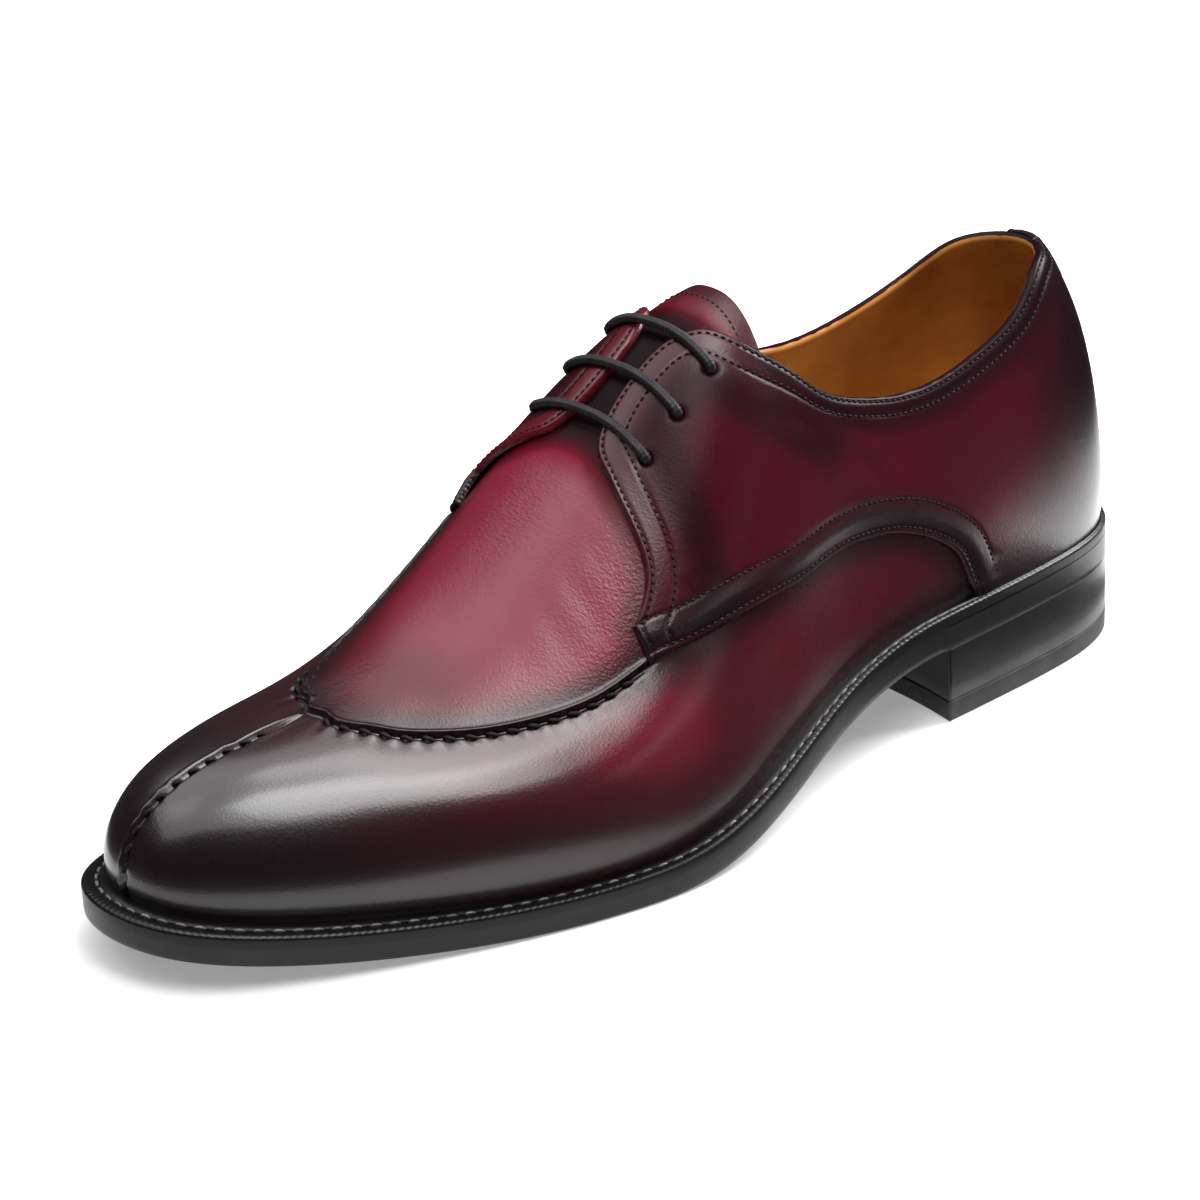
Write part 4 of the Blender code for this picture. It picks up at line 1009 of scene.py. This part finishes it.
across_mm, down_mm = np.meshgrid(np.linspace(-TAB_HALF, TAB_HALF, TAB_COLUMNS),
                                 np.linspace(TAB_TALL, 0, TAB_ROWS), indexing="ij")
to_edge = np.minimum(TAB_HALF - np.abs(across_mm), TAB_TALL - down_mm)
over_rim = fold(down_mm + 0.05, 1.2)
tab_lift = (QUARTER - 0.3) * over_rim + (TAB_THICK + 0.3) * fold(to_edge, 0.8) * (0.45 + 0.55 * over_rim)
tab_lift = tab_lift - DITCH_DEPTH * bell(to_edge - TAB_SEAM, DITCH_WIDTH)
tab_marks = {"burnish_and_shade": 0.93, "wrinkle": 0.2, "wax": 0.3}
add_piece("back_tab", on_tab(across_mm, down_mm, tab_lift)[0], quads(TAB_COLUMNS, TAB_ROWS), CALF,
          marks={mark: np.full(tab_lift.shape, value) for mark, value in tab_marks.items()})
inner, foot_row = TAB_HALF - TAB_SEAM, TAB_TALL - TAB_SEAM
down_side = np.column_stack([np.full(40, -inner), np.linspace(1.5, foot_row, 40)])
along_foot = np.column_stack([np.linspace(-inner, inner, 30)[1:-1], np.full(28, foot_row)])
route = np.vstack([down_side, along_foot, down_side[::-1] * (-1, 1)])
path, up = on_tab(route[:, 0], route[:, 1], QUARTER + TAB_THICK - 0.1)
sew("back_tab_stitches", path, up, UPPER_PITCH, UPPER_STITCH, UPPER_THREAD, DARK_THREAD)

# %% [markdown]
# ## Lining and tongue
# Inside, the shoe is lined with smooth tan leather that meets the quarter at the collar's rounded edge.
# The tongue is a curved flap of the same calf under the facings, with one row of thread across its top.
# Its top edge is highest towards the medial side and slants away on the lateral one.

# %% Lining
LINING_FEET = QUARTER_FEET[QUARTER_FEET <= THROAT][::2]
LINING_ROWS = 70
for label, side in SIDES.items():
    foot = LINING_FEET[:, None]
    turn = turn_on(side, foot, top_turn(foot)) * (1 - (1 - np.linspace(0, 1, LINING_ROWS)) ** 1.4)
    points = last_point(side, np.broadcast_to(foot, turn.shape), turn)
    by_upper = distance_to(points, last_point(side, *EDGES[side, "upper"]))
    over_tongue = (foot > TONGUE_TOP) & (turn > turn_on(side, foot, tongue_edge_turn(foot)))
    depth = np.where(over_tongue, 0.2, WALL)
    lift = gape(side, foot, by_upper) - depth * fold(by_upper, WALL)
    add_piece("lining_" + label, skin(side, foot, turn, lift), quads(*turn.shape, flip=side > 0), LINING,
              marks={"burnish_and_shade": 0 * turn})
VAMP_LINING_BACK, VAMP_LINING_COLUMNS, VAMP_LINING_ROWS, LOW_ROWS = 150.0, 121, 31, 16
back = float(angle_at(VAMP_LINING_BACK))
front = np.linspace(back, 2 * math.pi - back, VAMP_LINING_COLUMNS)
foot, side = foot_at(front)[:, None], np.where(front <= math.pi + 1e-9, 1, -1)[:, None]
turn = np.broadcast_to(np.linspace(0, 1, VAMP_LINING_ROWS), (VAMP_LINING_COLUMNS, VAMP_LINING_ROWS))
low_cells = np.arange(VAMP_LINING_ROWS - 1)[None, :] < LOW_ROWS
keep = low_cells | (np.minimum(foot[:-1], foot[1:]) > THROAT)
add_piece("vamp_lining", skin(side, foot, turn, -WALL), quads(*turn.shape, keep=keep, flip=True), LINING,
          weld=0.02)

# %% Tongue
TONGUE_LENGTHS, TONGUE_HALF = 90, 36
TONGUE_DROP, TONGUE_THICK, TONGUE_END, TONGUE_PEAK = 0.45, 1.1, 172.0, 0.2
TONGUE_ROW, TONGUE_WRINKLE, TONGUE_WAX = 4.0, 0.5, 0.3
across = np.linspace(-1, 1, 2 * TONGUE_HALF + 1)[None, :]
side = np.where(across <= 0, 1, -1)
off_peak = across - TONGUE_PEAK
corner = 1.2 + np.where(off_peak < 0, 3.0 * np.abs(off_peak) ** 1.6, 14.0 * off_peak ** 2)
down = np.linspace(0, 1, TONGUE_LENGTHS)[:, None] ** 1.3
foot = TONGUE_TOP + corner - 1.5 + (TONGUE_END - TONGUE_TOP - corner + 1.5) * down
edge = turn_on(side, np.minimum(foot, THROAT), tongue_edge_turn(np.minimum(foot, THROAT))) + 0.012
turn = edge + (1 - edge) * (1 - np.abs(across))
tongue_creases = 0.25 * np.sin((foot - 128) / 2.9 + 1.5 * across) * bell(foot - 148, 12) * bell(across, 0.7)
lift = -TONGUE_DROP - 0.5 * smooth_step((foot - 160) / 8) + np.minimum(tongue_creases, 0)
points = skin(side, foot, turn, lift)
tongue_marks = {
    "burnish_and_shade": darken(
        # Burnish along the top edge; further down, where the tongue lies between and under the facings,
        # painted shade turns it near black
        0.40 * bell(foot - TONGUE_TOP - corner, 3.0), 0.95 * smooth_step((foot - 130) / 6), 0.30),
    "wrinkle": np.full(foot.shape, TONGUE_WRINKLE),
    "wax": TONGUE_WAX * smooth_step((132 - foot) / 4),
}
tongue = add_piece("tongue_leather", points, quads(*foot.shape), CALF, replaces=["tongue"],
                   marks=tongue_marks)
thickness = tongue.modifiers.new("leather thickness", "SOLIDIFY")
thickness.thickness, thickness.offset = TONGUE_THICK * MM, -1.0
row = int(np.argmin(np.abs(foot[:, TONGUE_HALF] - (foot[0, TONGUE_HALF] + TONGUE_ROW))))
row_at = side[0], foot[row], turn[row]
sew("tongue_stitches", skin(*row_at, -TONGUE_DROP + 0.05), skin_normal(*row_at), UPPER_PITCH, UPPER_STITCH,
    UPPER_THREAD, DARK_THREAD)

# %% [markdown]
# ## Lace
# One waxed cotton cord is laced straight: three bars show, and each turns down into its blind eyelets.
# The braid is modelled, as two sets of strands that cross round the cord, because bare gloss looks like wire.

# %% Lace bars
LACE_RADIUS, LACE_LIFT = 1.12, QUARTER + 1.05
CORD_STEP, CORD_SIDES = 0.22, 28
BRAID_STRANDS, BRAID_PITCH, BRAID_HEIGHT = 3, 5.0, 0.16


def tube(path, radius):
    """A braided cord along a path of millimetre points."""
    run = run_along(path)
    places = np.arange(0, run[-1], CORD_STEP)
    print("cord of %.0f mm" % run[-1])
    centre = np.stack([spline(run, path[:, i])(places) for i in range(3)], -1)
    ahead = np.gradient(centre, axis=0)
    ahead /= np.linalg.norm(ahead, axis=1, keepdims=True)
    beside = np.cross(ahead, (1.0, 0.0, 0.0))
    beside /= np.linalg.norm(beside, axis=1, keepdims=True)
    over = np.cross(beside, ahead)
    theta = np.linspace(0, 2 * math.pi, CORD_SIDES, endpoint=False)[None, :]
    phase = 2 * math.pi * places[:, None] / BRAID_PITCH
    weave = np.cos(BRAID_STRANDS * (theta + phase)) * np.cos(BRAID_STRANDS * (theta - phase))
    r = radius * (1 + BRAID_HEIGHT * weave)[..., None]
    out = np.cos(theta)[..., None] * beside[:, None] + np.sin(theta)[..., None] * over[:, None]
    faces = []
    for start in range(0, (len(places) - 1) * CORD_SIDES, CORD_SIDES):
        for i in range(CORD_SIDES):
            low, high = start + i, start + (i + 1) % CORD_SIDES
            faces.append((low, high, high + CORD_SIDES, low + CORD_SIDES))
    ends = np.arange(CORD_SIDES)[::-1], np.arange(CORD_SIDES) + (len(places) - 1) * CORD_SIDES
    return centre[:, None] + r * out, faces + [end.tolist() for end in ends]


for number, eyelet_foot in enumerate(EYELET_FEET, 1):
    route = []
    for side in (1, -1):
        start = float(turn_on(side, eyelet_foot, EYELET_TURN))
        turns = np.r_[start, start, start + 0.006, np.linspace(start + 0.035, 0.965, 5)]
        lifts = np.r_[-0.9, QUARTER - 0.5, QUARTER + 0.7, np.full(5, LACE_LIFT)]
        half = skin(side, np.full(8, eyelet_foot), turns, lifts)
        route = half if side > 0 else np.vstack([route, half[::-1]])
    points, faces = tube(route, LACE_RADIUS)
    add_piece("lace_cord_%d" % number, points, faces, WAXED_CORD,
              replaces=["lace_bar_%d" % number])

# %% [markdown]
# ## Welt, sole and heel
# The welt is a strip of leather that shows as a ledge round the upper. Its thread lies in a shallow
# channel, and its outer edge is pressed with a hot wheel that leaves small even notches. Below it the sole
# edge is inked black and polished, the heel is a stack of inked lifts on a rubber top piece, and the
# underside is stained dark red.

# %% Welt
WELT_STEP, WELT_UNDER_UPPER = 0.42, 1.4
NOTCH_PITCH, NOTCH_DEPTH, NOTCHED = 1.7, 0.16, (0.3, 1.3)
loop_run = run_along(np.vstack([EDGE, EDGE[:1]]))
picks = np.searchsorted(loop_run, np.arange(0, loop_run[-1], WELT_STEP)).clip(0, EDGE_POINTS - 1)
WELT_PROFILE = [
    # share of the shown width, mm further in, height below the welt's top
    (0.00, 0.00, -3.0), (0.00, 0.00, -1.0), (0.00, 0.10, -0.55), (0.00, 0.35, -0.20), (0.00, 0.70, -0.02),
    (0.00, 1.20, 0.02), (0.40, 0.0, 0.00), (0.46, 0.0, -0.25), (0.52, 0.0, -0.38), (0.58, 0.0, -0.25),
    (0.64, 0.0, 0.00), (0.80, 0.0, 0.03), (1.00, WELT_UNDER_UPPER, 0.00),
]
edge, into, run = EDGE[picks], EDGE_IN[picks], loop_run[picks]
show = SHOW(edge[:, 0])
top = feather_height(edge[:, 0]) - GAP + 0.25
notch = 0.5 - 0.5 * np.cos(2 * math.pi * run / NOTCH_PITCH)
rings = []
for share_in, extra, z in WELT_PROFILE:
    place = edge + into * (np.minimum(share_in * show + extra, show + WELT_UNDER_UPPER))[:, None]
    pressed = NOTCH_DEPTH * notch * (NOTCHED[0] < extra < NOTCHED[1])
    rings.append(np.column_stack([place, top + z - pressed]))
points = np.stack(rings, axis=1)
add_piece("welt_strip", points, quads(len(picks), len(WELT_PROFILE), closed=True), WELT_INK,
          replaces=["welt"])

# %% Welt thread
WELT_PITCH, WELT_STITCH, WELT_THREAD_WIDTH, WELT_CHANNEL = 4.3, 3.1, 0.85, 0.52
stitched = edge[:, 0] > HEEL_BREAST - 6
place = edge + into * (WELT_CHANNEL * show)[:, None]
path = np.column_stack([place, top - 0.10])
start = int(np.argmax(~stitched))
order = np.roll(np.arange(len(path)), -start)
order = order[stitched[order]]
sew("welt_stitches", path[order], np.tile((0.0, 0.0, 1.0), (len(order), 1)), WELT_PITCH, WELT_STITCH,
    WELT_THREAD_WIDTH, WELT_THREAD)

# %% Outsole
SOLE_PROFILE = [
    # mm in from the edge, share of the way from underside to top, mm up
    (1.50, 0.0, 0.0), (0.80, 0.0, 0.08), (0.30, 0.0, 0.35), (0.06, 0.0, 0.85), (0.00, 0.25, 0.6),
    (0.00, 0.6, 0.0), (0.00, 0.95, 0.0), (0.02, 1.0, 0.1), (0.02, 1.0, 0.3),
]
low, high = sole_bottom(edge[:, 0]), feather_height(edge[:, 0]) - WELT - GAP
rounded = 0.06 + 0.94 * smooth_step((edge[:, 0] - HEEL_BREAST + 2) / 4)
rings = []
for inset_mm, part, up in SOLE_PROFILE:
    place = edge + into * (inset_mm * rounded)[:, None]
    rings.append(np.column_stack([place, low + (high - low) * part + up * rounded]))
add_piece("sole_edge", np.stack(rings, axis=1), quads(len(picks), len(SOLE_PROFILE), closed=True), EDGE_INK,
          replaces=["outsole"])


def plate(loop, count, across, height):
    """A sheet across the foot between the two sides of a loop."""
    lateral, medial = halves(loop)
    x = lateral[0, 0] + (lateral[-1, 0] - lateral[0, 0]) * (1 - np.cos(np.linspace(0, math.pi, count))) / 2
    left, right = np.interp(x, lateral[:, 0], lateral[:, 1]), np.interp(x, medial[:, 0], medial[:, 1])
    share = np.linspace(0, 1, across)[None, :]
    y = left[:, None] + (right - left)[:, None] * share
    x = np.broadcast_to(x[:, None], y.shape)
    return np.stack([x, y, height(x, 2 * share - 1)], -1)


UNDERSIDE_INSET, SOCK_INSET, SOCK_ABOVE_WELT, SOCK_RIM = 1.3, 1.5, 3.0, 0.8
under = plate(EDGE + EDGE_IN * UNDERSIDE_INSET, 160, 25, lambda x, s: sole_bottom(x) + 0 * s)
add_piece("sole_underside", under, quads(*under.shape[:2], flip=True), SOLE_STAIN, weld=0.01)

# %% Insole
sock = plate(FEATHER + EDGE_IN * SOCK_INSET, 140, 31,
             lambda x, s: feather_height(x) + SOCK_ABOVE_WELT + SOCK_RIM * np.abs(s) ** 6)
add_piece("insole_sock", sock, quads(*sock.shape[:2]), SOCK, replaces=["insole"], weld=0.01)

# %% Heel
LIFTS = 3
back = np.roll(EDGE, EDGE_POINTS // 2, axis=0)
back = back[back[:, 0] < HEEL_BREAST][::6]
bow = np.linspace(0, 1, 60)[1:-1]
corner_a, corner_b = back[-1], back[0]
breast = corner_a + (corner_b - corner_a) * bow[:, None]
breast[:, 0] -= BREAST_BOW * (1 - (2 * bow - 1) ** 2)
heel_loop = np.vstack([back, breast])
heel_in = inward(heel_loop)


def heel_block(name, low, high, grooves, finish, node_name):
    """A vertical block on the heel's outline, with rounded rims and fine lines where layers meet."""
    profile = [(0.9, low, 0.0), (0.3, low, 0.12), (0.05, low, 0.5)]
    for groove in grooves:
        profile += [(0.0, groove, -0.25), (0.006, groove, 0.0), (0.0, groove, 0.25)]
    profile += [(0.0, high, -0.4), (0.01, high, 0.0), (0.01, high, 0.4)]
    rings = [np.column_stack([heel_loop + heel_in * inset_mm, level + up + 0 * heel_loop[:, 0]])
             for inset_mm, level, up in profile]
    count = len(profile)
    faces = quads(len(heel_loop), count, closed=True)
    below = [i * count for i in range(len(heel_loop))]
    above = [i + count - 1 for i in reversed(below)]
    faces += [below, above]
    return add_piece(name, np.stack(rings, axis=1), faces, finish, replaces=[node_name])


heel_block("heel_rubber", 0.0, TOP_PIECE, [], HEEL_RUBBER, "heel_top_piece")
stack_top = sole_bottom(heel_loop[:, 0]) - 0.1
levels = [TOP_PIECE + GAP + (stack_top - TOP_PIECE - GAP) * i / LIFTS for i in range(1, LIFTS)]
heel_block("heel_lifts", TOP_PIECE + GAP, stack_top, levels, LIFT_INK, "heel_stack")

# %% [markdown]
# ## Stage
# The shoe stands on a white table whose top glows a little, painted light that keeps it pure white and keeps
# the shadows on it pale. The table is left out of reflections. Two smaller sheets take its place in them: one
# round the sole, which lights the leather above the welt, and one behind the heel. They glow the same way.
# Softboxes hang where the highlights along vamp and quarter mirror them, with a large one over all, a low one
# to the side and one behind the heel. The camera stands where the photograph's camera stood, turned to the
# one shoe, with a longer lens so that the shoe fills the frame.

# %% Floor
# Painted light: how strongly each stage sheet glows, which keeps the table white and its shadows pale
PAINTED_TABLE_GLOW = 0.30


def add_floor(name, outline, height, finish):
    """A flat sheet to stand on, in metres, whose top glows a little: painted light that keeps the shadows on
    it pale.
    """
    surface = finish.node_tree.nodes["Principled BSDF"]
    surface.inputs["Emission Color"].default_value = linear("#ffffff")
    surface.inputs["Emission Strength"].default_value = PAINTED_TABLE_GLOW
    mesh = bpy.data.meshes.new(name)
    mesh.from_pydata([(x, y, height) for x, y in outline], [], [list(range(len(outline)))])
    mesh.materials.append(finish)
    sheet = bpy.data.objects.new(name, mesh)
    bpy.context.scene.collection.objects.link(sheet)
    sheet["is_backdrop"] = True
    return sheet


FLOOR_HALF = 4.0
FLOOR_CORNERS = [(-FLOOR_HALF, -FLOOR_HALF), (FLOOR_HALF, -FLOOR_HALF),
                 (FLOOR_HALF, FLOOR_HALF), (-FLOOR_HALF, FLOOR_HALF)]
FLOOR_DOWN, BACK_SHEET_DOWN = -0.02 * MM, -0.01 * MM
PAPER_AT, PAPER_PAST_SOLE = (0, 170, 298), (14, 14, 75)
BACK_SHEET = ((-150, -100), (-22, -100), (-22, 115), (-150, 115))
floor = add_floor("white_floor", FLOOR_CORNERS, FLOOR_DOWN,
                  plain_finish("matt_white_floor", "#efefef", "#ececec", 200, 3.0, 0.9, 0.01))
floor.visible_glossy = False
past = np.interp(EDGE[:, 0], PAPER_AT, PAPER_PAST_SOLE)[:, None]
round_sole = (EDGE - EDGE_IN * past - ORIGIN[:2])[::-40] * MM
add_floor("white_paper", round_sole.tolist(), 0.0,
          plain_finish("matt_white_paper", "#c8c8c8", "#c4c4c4", 200, 3.0, 0.9, 0.01))
add_floor("white_back_sheet", ((np.array(BACK_SHEET) - ORIGIN[:2]) * MM).tolist(), BACK_SHEET_DOWN,
          plain_finish("matt_white_card", "#f0f0f0", "#ededed", 200, 3.0, 0.9, 0.01))

# %% Light
ROOM_LIGHT = 0.04
world = bpy.data.worlds.new("studio")
bpy.context.scene.world = world
world.use_nodes = True
world.node_tree.nodes["Background"].inputs["Color"].default_value = linear("#ffffff")
world.node_tree.nodes["Background"].inputs["Strength"].default_value = ROOM_LIGHT
SOFTBOXES = [
    # name, place in m, aim in m, width and height in m, power in W
    ("key_front", (0.14, 0.58, 1.20), (0.14, 0.58, 0.0), 0.44, 1.00, 11.4),
    ("key_back", (-0.19, 0.00, 1.20), (-0.19, 0.00, 0.0), 0.30, 0.84, 4.6),
    ("key_core", (0.04, 0.22, 1.21), (0.04, 0.22, 0.0), 0.24, 0.34, 0.8),
    ("overhead", (0.30, -0.30, 1.35), (0.15, -0.10, 0.0), 2.2, 2.0, 30.0),
    ("overhead_core", (0.62, -0.62, 1.30), (0.20, -0.20, 0.0), 0.5, 0.5, 1.0),
    ("low_side", (-0.87, 1.88, 0.72), (0.03, 0.05, 0.03), 0.9, 0.5, 2.4),
    ("behind_heel", (-0.60, 0.12, 0.45), (-0.28, 0.06, 0.0), 0.35, 0.35, 10.0),
]
for name, place, aim, width, height, power in SOFTBOXES:
    light = bpy.data.lights.new(name, "AREA")
    light.shape, light.size, light.size_y, light.energy = "RECTANGLE", width, height, power
    lamp = bpy.data.objects.new(name, light)
    lamp.location = place
    lamp.rotation_euler = (Vector(aim) - Vector(place)).to_track_quat("-Z", "Y").to_euler()
    bpy.context.scene.collection.objects.link(lamp)
bpy.context.scene.view_settings.view_transform = "Standard"

# %% Camera
CAMERA_PLACE = np.array([626.85, 584.96, 379.21])
CAMERA_AIM = np.array([154.9, -9.1, 45.0])
CAMERA_ROLL, LENS, SENSOR = 3.17, 104.0, 36.0
eye, aim = (Vector((p - ORIGIN) * MM) for p in (CAMERA_PLACE, CAMERA_AIM))
lens = bpy.data.cameras.new("photo_view")
lens.lens, lens.sensor_width = LENS, SENSOR
camera = bpy.data.objects.new("photo_view", lens)
camera.location = eye
camera.rotation_mode = "QUATERNION"
roll = Quaternion((0.0, 0.0, 1.0), -math.radians(CAMERA_ROLL))
camera.rotation_quaternion = (aim - eye).to_track_quat("-Z", "Y") @ roll
bpy.context.scene.collection.objects.link(camera)
bpy.context.scene.camera = camera
print("camera %.2f m from the shoe" % (aim - eye).length)

# %% Sizes, then finish
low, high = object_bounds()
print("dressed box in mm:", [round((b - a) / MM, 1) for a, b in zip(low, high)])
